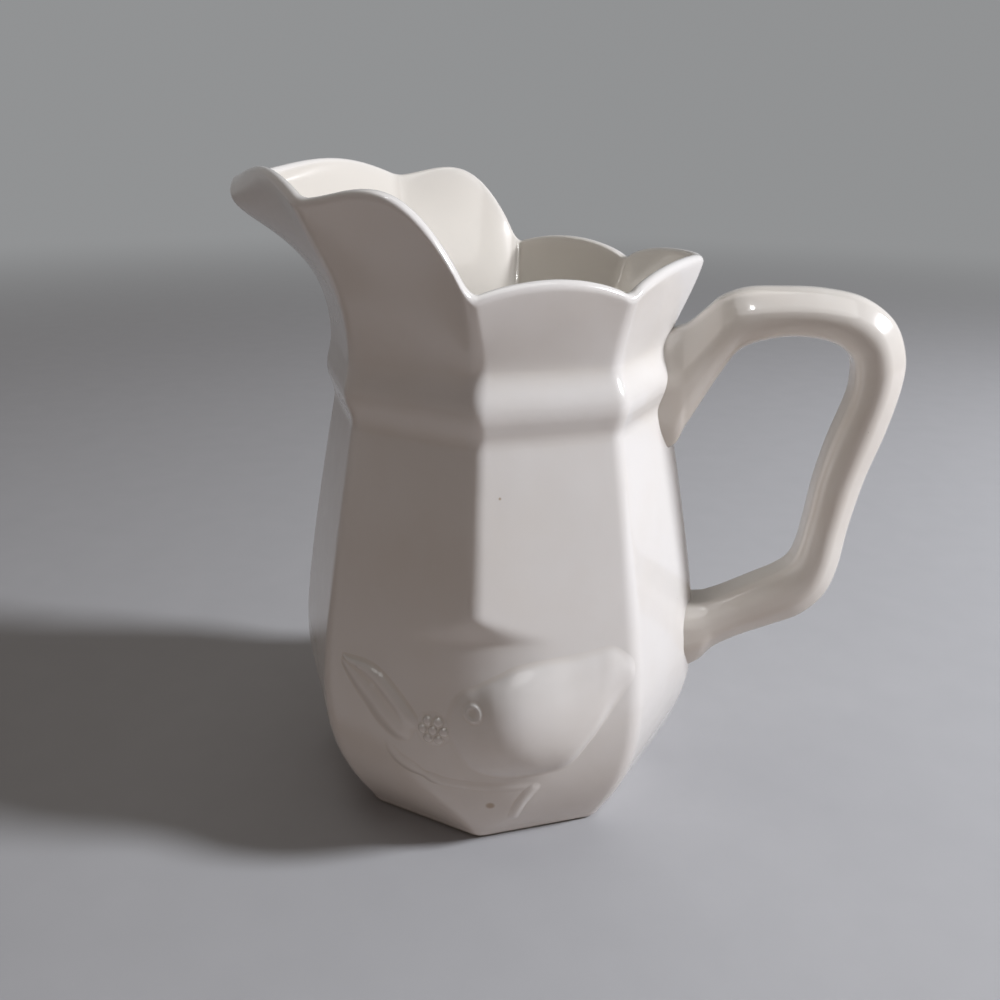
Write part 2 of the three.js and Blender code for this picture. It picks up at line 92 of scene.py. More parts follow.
def edit(obj: bpy.types.Object, mode: str = "VERT") -> None:
    """Opens one object in edit mode with nothing selected.

    Args:
        obj: The object to open.
        mode: What a selection picks: VERT, EDGE or FACE.
    """
    bpy.ops.object.select_all(action="DESELECT")
    bpy.context.view_layer.objects.active = obj
    obj.select_set(True)
    bpy.ops.object.mode_set(mode="EDIT")
    bpy.ops.mesh.select_mode(type=mode)
    bpy.ops.mesh.select_all(action="DESELECT")


def done() -> None:
    """Goes back to object mode."""
    bpy.ops.object.mode_set(mode="OBJECT")


def read_points(obj: bpy.types.Object, what: str = "co") -> Array:
    """Reads a vector of each of the object's vertices.

    Args:
        obj: The object whose mesh is read.
        what: co for the places, or normal for the normals.

    Returns:
        One row for each vertex.
    """
    flat = np.empty(len(obj.data.vertices) * 3)
    obj.data.vertices.foreach_get(what, flat)
    return flat.reshape(-1, 3)


def write_points(obj: bpy.types.Object, points: Array) -> None:
    """Moves the object's vertices to the rows of an array.

    Args:
        obj: The object whose mesh is shaped.
        points: One row for each vertex.
    """
    obj.data.vertices.foreach_set("co", points.astype(np.float32).ravel())
    obj.data.update()


def catmull_rom(knots: Array, at: Array) -> Array:
    """A smooth curve through knots, evenly spaced in its parameter.

    Args:
        knots: The knots in order; their first axis runs along the curve.
        at: Places along the curve, each from 0 to 1.

    Returns:
        The points of the curve, one for each place.
    """
    last = len(knots) - 1
    span = np.clip(at * last, 0, last - NOUGHT)
    index = span.astype(int)
    t = (span - index).reshape((-1,) + (1,) * (knots.ndim - 1))
    before = np.where(index > 0, index - 1, 0)
    after = np.minimum(index + 2, last)
    p0, p1, p2, p3 = knots[before], knots[index], knots[index + 1], knots[after]
    return 0.5 * (
        2 * p1
        + (p2 - p0) * t
        + (2 * p0 - 5 * p1 + 4 * p2 - p3) * t**2
        + (3 * p1 - p0 - 3 * p2 + p3) * t**3
    )


def bezier(controls: Sequence[Pair], steps: int) -> Array:
    """Points of a quadratic or cubic curve, from its first control to its last.

    Args:
        controls: Three or four control points.
        steps: How many equal steps the curve is cut into.

    Returns:
        An array of steps + 1 points.
    """
    points = np.array(controls, float)
    t = np.linspace(0, 1, steps + 1)[:, None]
    degree = len(points) - 1
    weights = [math.comb(degree, i) * t**i * (1 - t) ** (degree - i) for i in range(degree + 1)]
    return sum(w * p for w, p in zip(weights, points))


def smooth_step(low: float, high: float, value: Array) -> Array:
    """Rises smoothly from 0 at low to 1 at high."""
    t = np.clip((value - low) / (high - low), 0, 1)
    return t * t * (3 - 2 * t)


def paint(obj: bpy.types.Object, name: str, values: Array) -> None:
    """Writes one number for each point, which the glaze reads by its name."""
    layer = obj.data.attributes.new(name, "FLOAT", "POINT")
    layer.data.foreach_set("value", values.astype(np.float32))


def mark_relief(obj: bpy.types.Object, passes: int = 5) -> None:
    """Marks where the glaze pools and where it runs thin, by how the surface bends.

    Args:
        obj: The finished piece.
        passes: How often the bend is evened out with the points next to it.
    """
    points, normals = read_points(obj), read_points(obj, "normal")
    edges = np.empty(len(obj.data.edges) * 2, int)
    obj.data.edges.foreach_get("vertices", edges)
    a, b = edges.reshape(-1, 2).T
    step = points[b] - points[a]
    square = np.clip((step**2).sum(1), NOUGHT, None)
    count = np.bincount(np.concatenate([a, b]), minlength=len(points))

    def gather(at_a: Array, at_b: Array) -> Array:
        """The mean, at each point, of what its edges give it."""
        total = np.bincount(a, at_a, len(points)) + np.bincount(b, at_b, len(points))
        return total / np.clip(count, 1, None)

    bend = gather(2 * (step * normals[a]).sum(1) / square, -2 * (step * normals[b]).sum(1) / square)
    for _ in range(passes):
        bend = (bend + gather(bend[b], bend[a])) / 2
    paint(obj, "pool", np.clip(bend / POOL_BEND, 0, 1))
    paint(obj, "thin", np.clip(-bend / THIN_BEND, 0, 1))


@dataclass(frozen=True)
class Flare:
    """One corner of the collar, from its foot to the outer edge of the rim."""

    rim: Triple
    foot: float
    rise: float
    pull: Triple

    def controls(self, angle: float, side: int) -> list[Triple]:
        """The four control points of the corner's curve.

        Args:
            angle: The corner's direction from the axis.
            side: 1 on the -Y side and -1 on the other.

        Returns:
            The controls in metres from the axis and the table.
        """
        start = np.array([self.foot * math.cos(angle), self.foot * math.sin(angle), WallShape.collar_foot])
        mirror = np.array([1, side, 1])
        end = np.array(self.rim) * mirror
        return [start, start + np.array([0, 0, self.rise]), end + np.array(self.pull) * mirror, end]


@dataclass(frozen=True)
class Scallop:
    """The arch of the rim on one face: its height, where it peaks, how full it is."""

    height: float
    peak: float
    fullness: float


@dataclass(frozen=True)
class Rows:
    """How many rows each stretch of the wall's section is cut into."""

    heel: int = 34
    flank: int = 62
    cove: int = 10
    roll_side: int = 5
    roll: int = 7
    shoulder: int = 18
    collar: int = 34
    rim: int = 13
    inside: int = 62


@dataclass(frozen=True)
class WallShape:
    """Driving sizes of the body's wall and the surface that follows from them.

    A place on the wall is a corner's number, a distance along the surface from that
    corner, a corner radius and a height. Corner 0 is the spout's, corner 2 is on the
    photographed side and corner 4 is the handle's.
    """

    wall: float = 0.0050
    rim_wall: float = 0.0032
    foot_radius: float = 0.0440
    foot_width: float = 0.0060
    foot_recess: float = 0.0020
    ring_inside: tuple[Pair, ...] = ((-0.0016, 0.0020), (-0.0006, 0.0013), (0, 0.0003), (0.0006, 0))
    ring_outside: tuple[Pair, ...] = ((-0.0006, 0), (0.0006, 0.0002), (0.0014, 0.0007), (0.0021, 0.0015))
    under_rings: tuple[float, ...] = (0.0060, 0.0200)
    floor_top: float = 0.0065
    floor_rings: tuple[float, ...] = (0.0280, 0.0160, 0.0060)
    floor_edge: Pair = (0.0360, 0.0004)
    inner_heel: tuple[Pair, ...] = ((0.0460, 0.0130), (0.0420, 0.0090))
    inner_heights: tuple[float, ...] = (0.1, 0.082, 0.062, 0.044, 0.030, 0.020)
    heel: Pair = (0.0466, 0.0026)
    heel_pull: tuple[Pair, Pair] = ((0.0520, 0.0110), (0.0600, 0.0220))
    belly: Pair = (0.0600, 0.0420)
    flank_pull: tuple[Pair, Pair] = ((0.0600, 0.0560), (0.0526, 0.0920))
    neck: Pair = (0.0480, 0.1144)
    cove: Pair = (0.0476, 0.1163)
    underside: Pair = (0.0482, 0.1182)
    roll_side: Pair = (0.0492, 0.1211)
    roll_turn: Pair = (0.0496, 0.1224)
    crest: Pair = (0.0496, 0.1238)
    collar_foot: float = 0.1332
    collar_prism: float = 0.0300
    prism_radius: float = 0.0480
    corner_soft: float = 0.0024
    belly_soft: float = 0.0010
    swell_top: Pair = (0.110, 0.045)
    swell_foot: Pair = (0, 0.02)
    panel_corners: Pair = (2, 6)
    panel_soft: float = 0.0195
    panel_top: Pair = (0.0658, 0.0734)
    panel_foot: Pair = (0.0020, 0.0240)
    scallop_lean: float = 0.25
    rows: Rows = Rows()
    flares: tuple[Flare, ...] = (
        Flare((-0.0729, 0, 0.1738), 0.0480, 0.0315, (-0.0083, 0, -0.0122)),
        Flare((-0.0402, -0.0512, 0.1701), 0.0480, 0.0165, (0.0028, 0.0114, -0.0145)),
        Flare((-0.0007, -0.0562, 0.1496), 0.0469, 0.0035, (0.0002, 0.0038, -0.0063)),
        Flare((0.0355, -0.0361, 0.1481), 0.0462, 0.0025, (-0.0016, 0.0016, -0.0055)),
        Flare((0.0542, 0, 0.1541), 0.0468, 0.0040, (-0.0022, 0, -0.0085)),
    )
    scallops: tuple[Scallop, ...] = (
        Scallop(0.0050, 0.58, 0.95),
        Scallop(0.0136, 0.63, 0.76),
        Scallop(0.0044, 0.53, 0.66),
        Scallop(0.0028, 0.38, 0.65),
    )

    def outline(self) -> Array:
        """The outer profile below the ring moulding.

        Returns:
            Corner radius and height, from the heel up.
        """
        heel = bezier([self.heel, *self.heel_pull, self.belly], self.rows.heel)
        flank = bezier([self.belly, *self.flank_pull, self.neck], self.rows.flank)
        return np.vstack([heel, flank[1:]])

    def corner_radius(self, height: Array) -> Array:
        """The corner radius of the outer profile at each height."""
        profile = self.outline()
        return np.interp(height, profile[:, 1], profile[:, 0])

    def profile(self) -> Array:
        """The whole section of the wall, in the straight prism that the collar is made from.

        Returns:
            Corner radius and height, from under the floor round to its top.
        """
        cut = math.cos(HALF_TURN)
        wall, half = self.wall / cut, self.rim_wall / 2 / cut
        inner_foot = self.foot_radius - self.foot_width
        under = [(radius, self.foot_recess) for radius in self.under_rings]
        ring = [(inner_foot + out, z) for out, z in self.ring_inside]
        ring += [(self.foot_radius + out, z) for out, z in self.ring_outside]
        cove = bezier([self.neck, self.cove, self.underside], self.rows.cove)[1:]
        side = bezier([self.underside, self.roll_side], self.rows.roll_side)[1:-1]
        roll = bezier([self.roll_side, self.roll_turn, self.crest], self.rows.roll)
        shoulder = bezier([self.crest, (self.prism_radius, self.collar_foot)], self.rows.shoulder)[1:-1]
        rise = np.linspace(0, 1, self.rows.collar)[:, None]
        outer = np.hstack([0 * rise + self.prism_radius, self.collar_foot + rise * self.collar_prism])
        thickness = (self.wall + (self.rim_wall - self.wall) * rise) / cut
        inner = (outer - np.hstack([thickness, 0 * rise]))[::-1]
        turn = np.linspace(0, math.pi, self.rows.rim)[1:-1]
        rim = np.column_stack([self.prism_radius - half + half * np.cos(turn),
                               self.collar_foot + self.collar_prism + half * np.sin(turn)])
        neck = self.neck[0] - wall
        knots = [(self.prism_radius - wall, self.collar_foot), (neck, self.crest[1]), (neck, self.neck[1])]
        knots += [(float(self.corner_radius(z)) - wall, z) for z in self.inner_heights]
        knots += [*self.inner_heel, (self.floor_edge[0], self.floor_top + self.floor_edge[1])]
        inside = catmull_rom(np.array(knots), np.linspace(0, 1, self.rows.inside))[1:]
        floor = [(radius, self.floor_top) for radius in self.floor_rings]
        outside = np.vstack([under, ring, self.outline(), cove, side, roll, shoulder, outer])
        return np.vstack([outside, rim, inner, inside, floor])

    def _curves(self) -> Array:
        """The curves of all eight corners.

        Returns:
            Their controls, by corner, control and axis.
        """
        rows = []
        for k in range(SIDES):
            far = k > SIDES // 2
            flare = self.flares[SIDES - k if far else k]
            rows.append(flare.controls(math.pi + k * TURN, -1 if far else 1))
        return np.array(rows)

    def corner(self, index: Array, radius: Array, height: Array) -> Array:
        """Points on the sharp corner lines of the wall.

        Args:
            index: The corner's number at each place.
            radius: The corner radius in the straight prism.
            height: The height in the straight prism.

        Returns:
            The points in metres from the axis.
        """
        angle = math.pi + index * TURN
        radial = np.stack([np.cos(angle), np.sin(angle), 0 * angle], -1)
        c0, c1, c2, c3 = self._curves()[index % SIDES].transpose(1, 0, 2)
        spread = np.hypot(c0[:, 0], c0[:, 1]) - self.prism_radius
        blended = radius + self.hollow(radius, height) + spread * self.towards_collar(height)
        plain = radial * blended[:, None] + np.stack([0 * height, 0 * height, height], -1)
        rise = (height - self.collar_foot) / self.collar_prism
        t = np.clip(rise, 0, 1)[:, None]
        on_curve = (1 - t) ** 3 * c0 + 3 * t * (1 - t) ** 2 * c1 + 3 * t * t * (1 - t) * c2 + t**3 * c3
        tangent = (1 - t) ** 2 * (c1 - c0) + 2 * t * (1 - t) * (c2 - c1) + t * t * (c3 - c2)
        outward = (tangent * radial).sum(1)
        slope = outward / np.hypot(outward, tangent[:, 2])
        across = -radial * np.sqrt(1 - slope**2)[:, None]
        across[:, 2] = slope
        depth = (self.prism_radius - radius)[:, None]
        tangent /= np.linalg.norm(tangent, axis=1, keepdims=True)
        over = np.clip(height - self.collar_foot - self.collar_prism, 0, None)[:, None]
        swept = on_curve + across * depth + tangent * over
        return np.where((rise >= 0)[:, None], swept, plain)

    def towards_collar(self, height: Array) -> Array:
        """Goes from 0 at the crest of the roll moulding to 1 at the foot of the collar."""
        share = np.clip((height - self.crest[1]) / (self.collar_foot - self.crest[1]), 0, 1)
        return (1 - np.cos(math.pi * share)) / 2

    def hollow(self, radius: Array, height: Array) -> Array:
        """Bends the straight shoulder over the roll moulding into its soft hollow.

        Args:
            radius: The corner radius in the straight prism.
            height: The height in the straight prism.

        Returns:
            What is added to the radius.
        """
        share = (height - self.crest[1]) / (self.collar_foot - self.crest[1])
        over = (share > 0) & (share < 1) & (radius > self.prism_radius - self.wall / 2)
        bent = (share - self.towards_collar(height)) * (self.crest[0] - self.prism_radius)
        return np.where(over, bent, 0)

    def lift(self, face: Array, along: Array, height: Array) -> Array:
        """How far the scallop of a face moves a point of the wall.

        Args:
            face: The face's number; face 0 lies between corners 0 and 1.
            along: The fraction of the way along the face.
            height: The height in the straight prism.

        Returns:
            The moves as rows.
        """
        far = face >= SIDES // 2
        number = np.where(far, SIDES - 1 - face, face)
        s = np.clip(np.where(far, 1 - along, along), 0, 1)
        table = np.array([(a.height, a.peak, a.fullness) for a in self.scallops])[number]
        skewed = s ** (math.log(0.5) / np.log(table[:, 1]))
        arch = table[:, 0] * np.clip(np.sin(math.pi * skewed), 0, 1) ** table[:, 2]
        grown = arch * np.clip((height - self.collar_foot) / self.collar_prism, 0, 1) ** 2
        angle = math.pi + (face + 0.5) * TURN
        lean = grown * self.scallop_lean
        return np.stack([lean * np.cos(angle), lean * np.sin(angle), grown], -1)

    def face_length(self, face: Array, radius: Array, height: Array) -> Array:
        """The distance between a face's two corners."""
        across = self.corner(face + 1, radius, height) - self.corner(face, radius, height)
        return np.linalg.norm(across, axis=1)

    def sharp(self, index: Array, along: Array, radius: Array, height: Array) -> Array:
        """Points of the wall before its corners are softened.

        Args:
            index: The number of the nearest corner.
            along: The signed distance from that corner.
            radius: The corner radius in the straight prism.
            height: The height in the straight prism.

        Returns:
            The points in metres from the axis.
        """
        face = np.where(along < 0, index - 1, index) % SIDES
        length = self.face_length(face, radius, height)
        s = np.where(along < 0, 1 + along / length, along / length)[:, None]
        a, b = self.corner(face, radius, height), self.corner(face + 1, radius, height)
        return a + (b - a) * s + self.lift(face, s[:, 0], height)

    def softness(self, index: Array, height: Array) -> Array:
        """How widely a corner is rounded, with the hollowed ground of the relief.

        Args:
            index: The corner's number at each place.
            height: The height in the straight prism.

        Returns:
            Half the width of the rounding.
        """
        swell = smooth_step(*self.swell_top, height) * smooth_step(*self.swell_foot, height)
        width = self.corner_soft + self.belly_soft * swell
        upper = np.clip((self.panel_top[1] - height) / (self.panel_top[1] - self.panel_top[0]), 0, 1)
        lower = np.clip((height - self.panel_foot[0]) / (self.panel_foot[1] - self.panel_foot[0]), 0, 1)
        ground = np.isin(index % SIDES, self.panel_corners)
        return width + np.where(ground, self.panel_soft * np.minimum(upper, lower), 0)

    def place(self, index: Array, along: Array, radius: Array, height: Array) -> Array:
        """Points of the finished wall.

        Args:
            index: The number of the nearest corner.
            along: The signed distance from that corner.
            radius: The corner radius in the straight prism.
            height: The height in the straight prism.

        Returns:
            The points in metres from the axis.
        """
        width = self.softness(index, height)
        t = np.clip(0.5 + 0.5 * along / width, 0, 1)[:, None]
        before = self.sharp(index, -width, radius, height)
        middle = self.sharp(index, 0 * width, radius, height)
        after = self.sharp(index, width, radius, height)
        soft = (1 - t) ** 2 * before + 2 * t * (1 - t) * middle + t * t * after
        plain = self.sharp(index, along, radius, height)
        return np.where((np.abs(along) < width)[:, None], soft, plain)


WALL = WallShape()
CORNER_CUT = 0.00044
AXIS = Vector((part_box("body")[1].x - WALL.belly[0] + CORNER_CUT, 0.0, 0.0))
AXIS_ROW = np.array(AXIS)


@dataclass(frozen=True)
class Spot:
    """A place on the photographed side: distance from its corner, and height."""

    u: float
    z: float


def on_wall(u: Array, z: Array, proud: Array) -> Array:
    """Points proud of the wall at the photographed side's corner.

    Args:
        u: Distances along the surface from the corner, positive towards the handle.
        z: Heights over the table.
        proud: How far each point stands off the wall.

    Returns:
        The points as rows, in the frame's axes.
    """
    index = np.full(u.shape, WALL.panel_corners[0])
    step = 0.4 * MM

    def surface(du: float, dz: float) -> Array:
        """The wall a small step along and up from each place."""
        height = z + dz
        return WALL.place(index, u + du, WALL.corner_radius(height), height)

    along = surface(step, 0) - surface(-step, 0)
    up = surface(0, step) - surface(0, -step)
    normal = np.cross(along, up)
    normal /= np.linalg.norm(normal, axis=1, keepdims=True)
    return surface(0, 0) + normal * proud[:, None] + AXIS_ROW


@dataclass(frozen=True)
class Cloud:
    """A noise pattern: how fine it is, how many octaves it has and how strong they are."""

    scale: float
    detail: float
    rough: float


class Graph:
    """The nodes of one material or world, added by one method and joined by expressions."""

    def __init__(self, tree: bpy.types.NodeTree) -> None:
        """Starts with an empty tree.

        Args:
            tree: The node tree of a material or a world.
        """
        self.tree = tree
        self.tree.nodes.clear()

    def node(self, kind: str, settings: dict[str, Any] | None = None, **inputs: Any) -> bpy.types.Node:
        """Adds a node.

        Args:
            kind: The node's type.
            settings: Properties set before the sockets.
            **inputs: Values or Outputs by socket name, with spaces as underscores.

        Returns:
            The node.
        """
        node = self.tree.nodes.new(kind)
        for key, value in (settings or {}).items():
            setattr(node, key, value)
        for key, value in inputs.items():
            self.feed(self._socket(node, key), value)
        return node

    def _socket(self, node: bpy.types.Node, key: str) -> bpy.types.NodeSocket:
        """Finds an input of a node.

        Args:
            node: The node.
            key: The name of an enabled input with spaces as underscores, or in_0 by number.

        Returns:
            The input.
        """
        if key.startswith("in_"):
            return node.inputs[int(key[3:])]
        wanted = key.replace("_", " ")
        return next(s for s in node.inputs if s.name == wanted and s.enabled)

    def feed(self, socket: bpy.types.NodeSocket, value: Any) -> None:
        """Links an Output to a socket, or sets its value.

        Args:
            socket: An input.
            value: An Output, a number or a colour.
        """
        if isinstance(value, Output):
            self.tree.links.new(value.socket, socket)
        else:
            socket.default_value = value

    def out(self, node: bpy.types.Node, name: str | int = 0) -> "Output":
        """Wraps an output of a node.

        Args:
            node: The node.
            name: The output's name or number.

        Returns:
            The output, ready for arithmetic.
        """
        if isinstance(name, int):
            return Output(self, node.outputs[name])
        return Output(self, next(s for s in node.outputs if s.name == name and s.enabled))

    def noise(self, place: "Output", cloud: Cloud) -> "Output":
        """A cloudy pattern from 0 to 1."""
        return self.out(self.node("ShaderNodeTexNoise", Vector=place, Scale=cloud.scale,
                                  Detail=cloud.detail, Roughness=cloud.rough), "Fac")

    def cells(self, place: "Output", scale: float) -> bpy.types.Node:
        """Scattered points, with the distance to the nearest one and its random colour."""
        return self.node("ShaderNodeTexVoronoi", {"feature": "F1"}, Vector=place, Scale=scale)

    def span(self, place: "Output", point: Triple) -> "Output":
        """The distance of a place from a point."""
        node = self.node("ShaderNodeVectorMath", {"operation": "DISTANCE"}, in_0=place, in_1=point)
        return self.out(node, "Value")

    def mark(self, name: str) -> "Output":
        """One of the numbers painted on a piece's points."""
        return self.out(self.node("ShaderNodeAttribute", {"attribute_name": name}), "Fac")

    def blend(self, factor: "Output", low: Any, high: Any) -> "Output":
        """Mixes two colours by a factor."""
        node = self.node("ShaderNodeMix", {"data_type": "RGBA"}, Factor=factor, A=low, B=high)
        return self.out(node, "Result")


@dataclass(frozen=True)
class Output:
    """One socket with arithmetic, so that shader maths reads as an expression."""

    graph: Graph
    socket: bpy.types.NodeSocket

    def _math(self, operation: str, first: Any, second: Any) -> "Output":
        """Adds one Math node."""
        node = self.graph.node("ShaderNodeMath", {"operation": operation}, in_0=first, in_1=second)
        return self.graph.out(node)

    def __add__(self, other: Any) -> "Output":
        """self + other."""
        return self._math("ADD", self, other)

    def __radd__(self, other: Any) -> "Output":
        """other + self."""
        return self._math("ADD", other, self)

    def __sub__(self, other: Any) -> "Output":
        """self - other."""
        return self._math("SUBTRACT", self, other)

    def __rsub__(self, other: Any) -> "Output":
        """other - self."""
        return self._math("SUBTRACT", other, self)

    def __mul__(self, other: Any) -> "Output":
        """self * other."""
        return self._math("MULTIPLY", self, other)

    def __rmul__(self, other: Any) -> "Output":
        """other * self."""
        return self._math("MULTIPLY", other, self)

    def rise(self, low: float, high: float) -> "Output":
        """Goes smoothly from 0 where the value is low to 1 where it is high.

        Args:
            low: The value that gives 0.
            high: The value that gives 1.

        Returns:
            The new value.
        """
        node = self.graph.node("ShaderNodeMapRange", {"interpolation_type": "SMOOTHSTEP"}, Value=self,
                               From_Min=low, From_Max=high, To_Min=0.0, To_Max=1.0)
        return self.graph.out(node, "Result")


def new_material(name: str) -> tuple[bpy.types.Material, Graph]:
    """Makes an empty material.

    Args:
        name: The material's name.

    Returns:
        The material and the graph of its nodes.
    """
    material = bpy.data.materials.new(name)
    material.use_nodes = True
    return material, Graph(material.node_tree)


@dataclass(frozen=True)
class Glaze:
    """A finish of clear glossy glaze over white stoneware."""

    name: str
    white: Colour = (0.80, 0.785, 0.765, 1)
    warm: Colour = (0.775, 0.75, 0.715, 1)
    # Painted shade: the inside of the pitcher is painted in this darker, warmer colour.
    inside_shade: Colour = (0.73, 0.695, 0.635, 1)
    pooled: Colour = (0.74, 0.70, 0.64, 1)
    thinned: Colour = (0.84, 0.83, 0.815, 1)
    bare_clay: Colour = (0.60, 0.55, 0.47, 1)
    speck_brown: Colour = (0.22, 0.16, 0.10, 1)
    stain_brown: Colour = (0.42, 0.31, 0.19, 1)
    stains: tuple[tuple[Spot, float], ...] = (
        (Spot(0.0044, 0.0160), 0.0016), (Spot(0.0060, 0.1033), 0.0005), (Spot(0.0199, 0.0490), 0.0004))
    stain_edge: float = 0.0008
    stain_core: float = 0.4
    stain_share: float = 0.75
    drift_share: float = 0.75
    drift_span: Pair = (0.35, 0.75)
    cloud_share: float = 0.25
    cloud_span: Pair = (0.4, 0.7)
    pool_share: float = 0.7
    pool_least: float = 0.6
    pool_cloud: float = 0.8
    thin_share: float = 0.6
    speck_share: float = 0.8
    bare_line: Pair = (0.0005, 0.0012)
    gloss: float = 0.13
    gloss_drift: float = 0.05
    bare_rough: float = 0.55
    speck_rough: float = 0.2
    refraction: float = 1.5
    coat: float = 0.6
    coat_rough: float = 0.04
    drift: Cloud = Cloud(22.0, 3.0, 0.5)
    cloud: Cloud = Cloud(90.0, 4.0, 0.6)
    grain: Cloud = Cloud(420.0, 3.0, 0.55)
    ripple: Cloud = Cloud(70.0, 2.0, 0.4)
    peel: Cloud = Cloud(620.0, 2.0, 0.5)
    grit: Cloud = Cloud(2600.0, 3.0, 0.6)
    speck_cells: float = 85.0
    speck_size: Pair = (0.008, 0.022)
    speck_chance: Pair = (0.915, 0.925)
    pit_cells: float = 140.0
    pit_size: Pair = (0.0, 0.035)
    peel_height: float = 0.012
    pit_depth: float = 0.03
    grit_height: float = 0.06
    bump_strength: float = 0.09
    bump_depth: float = 0.002

    def material(self) -> bpy.types.Material:
        """Builds the material.

        Returns:
            The material.
        """
        made, g = new_material(self.name)
        place = g.out(g.node("ShaderNodeTexCoord"), "Object")
        height = g.out(g.node("ShaderNodeSeparateXYZ", Vector=place), "Z")
        bare = 1 - height.rise(*self.bare_line)
        specks = self._specks(g, place)
        colour = self._colour(g, place, bare, specks)
        grain = g.noise(place, self.grain)
        rough = self.gloss + self.gloss_drift * grain + self.bare_rough * bare + self.speck_rough * specks
        shader = g.node("ShaderNodeBsdfPrincipled", Base_Color=colour, Roughness=rough, IOR=self.refraction,
                        Coat_Weight=self.coat * (1 - bare), Coat_Roughness=self.coat_rough,
                        Normal=self._surface(g, place, bare))
        g.node("ShaderNodeOutputMaterial", Surface=g.out(shader))
        return made

    def _specks(self, g: Graph, place: Output) -> Output:
        """Tiny iron specks, in about one cell of twelve.

        Args:
            g: The material's graph.
            place: The place on the object.

        Returns:
            1 in a speck and 0 beside it.
        """
        cells = g.cells(place, self.speck_cells)
        chosen = g.out(g.node("ShaderNodeSeparateColor", Color=g.out(cells, "Color")), "Red")
        return (1 - g.out(cells, "Distance").rise(*self.speck_size)) * chosen.rise(*self.speck_chance)

    def _colour(self, g: Graph, place: Output, bare: Output, specks: Output) -> Output:
        """White that drifts a little, warmer where the glaze pools, with painted shade inside the pitcher.

        Args:
            g: The material's graph.
            place: The place on the object.
            bare: 1 where the foot has no glaze.
            specks: 1 in a speck.

        Returns:
            The colour.
        """
        drift = g.noise(place, self.drift).rise(*self.drift_span)
        cloud = g.noise(place, self.cloud)
        warmth = self.drift_share * drift + self.cloud_share * cloud.rise(*self.cloud_span)
        colour = g.blend(warmth, self.white, self.warm)
        # Painted shade inside the pitcher: a darker, warmer colour where the inside mark is set.
        colour = g.blend(g.mark("inside"), colour, self.inside_shade)
        pooled = self.pool_share * g.mark("pool") * (self.pool_least + self.pool_cloud * cloud)
        colour = g.blend(pooled, colour, self.pooled)
        colour = g.blend(self.thin_share * g.mark("thin"), colour, self.thinned)
        colour = g.blend(self.speck_share * specks, colour, self.speck_brown)
        for spot, radius in self.stains:
            centre = on_wall(np.array([spot.u]), np.array([spot.z]), np.array([0.0]))[0]
            ragged = g.span(place, tuple(centre)) + self.stain_edge * (cloud - 0.5)
            stained = self.stain_share * (1 - ragged.rise(self.stain_core * radius, radius))
            colour = g.blend(stained, colour, self.stain_brown)
        return g.blend(bare, colour, self.bare_clay)

    def _surface(self, g: Graph, place: Output, bare: Output) -> Output:
        """A slow ripple, a faint orange peel, pinholes, and grit on the bare foot.

        Args:
            g: The material's graph.
            place: The place on the object.
            bare: 1 where the foot has no glaze.

        Returns:
            The bumped normal.
        """
        ripple, peel = g.noise(place, self.ripple), g.noise(place, self.peel)
        pits = 1 - g.out(g.cells(place, self.pit_cells), "Distance").rise(*self.pit_size)
        grit = self.grit_height * bare * g.noise(place, self.grit)
        height = ripple + self.peel_height * peel - self.pit_depth * pits + grit
        return g.out(g.node("ShaderNodeBump", Strength=self.bump_strength, Distance=self.bump_depth,
                            Height=height))


BODY_GLAZE = Glaze("body_glaze")
# Painted warm reflected light: the handle's glaze is painted warmer than the body's, though it is the same
# glaze.
HANDLE_GLAZE = Glaze("handle_glaze", white=(0.785, 0.755, 0.705, 1), warm=(0.75, 0.70, 0.635, 1))
RELIEF_GLAZE = Glaze("relief_glaze")


@dataclass
class Part:
    """A sub-assembly of the pitcher and its pieces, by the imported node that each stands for."""

    slot: ClassVar[Slot]
    pieces: dict[str, bpy.types.Object] = field(default_factory=dict, init=False)

    def adopt(self, node: str, obj: bpy.types.Object) -> bpy.types.Object:
        """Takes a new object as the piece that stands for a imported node.

        Args:
            node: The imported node's name.
            obj: The new object.

        Returns:
            The same object, named.
        """
        obj.name = f"pitcher_{node}"
        self.pieces[node] = obj
        return obj

    def dress(self, material: bpy.types.Material) -> None:
        """Gives each finished piece its material and its place in the frame.

        Args:
            material: The only material of these pieces.
        """
        for node, obj in self.pieces.items():
            obj.data.materials.clear()
            obj.data.materials.append(material)
            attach(obj, ROOT)
            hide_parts(node)
            log.info("%s: %d points, stands for %s", obj.name, len(obj.data.vertices), node)


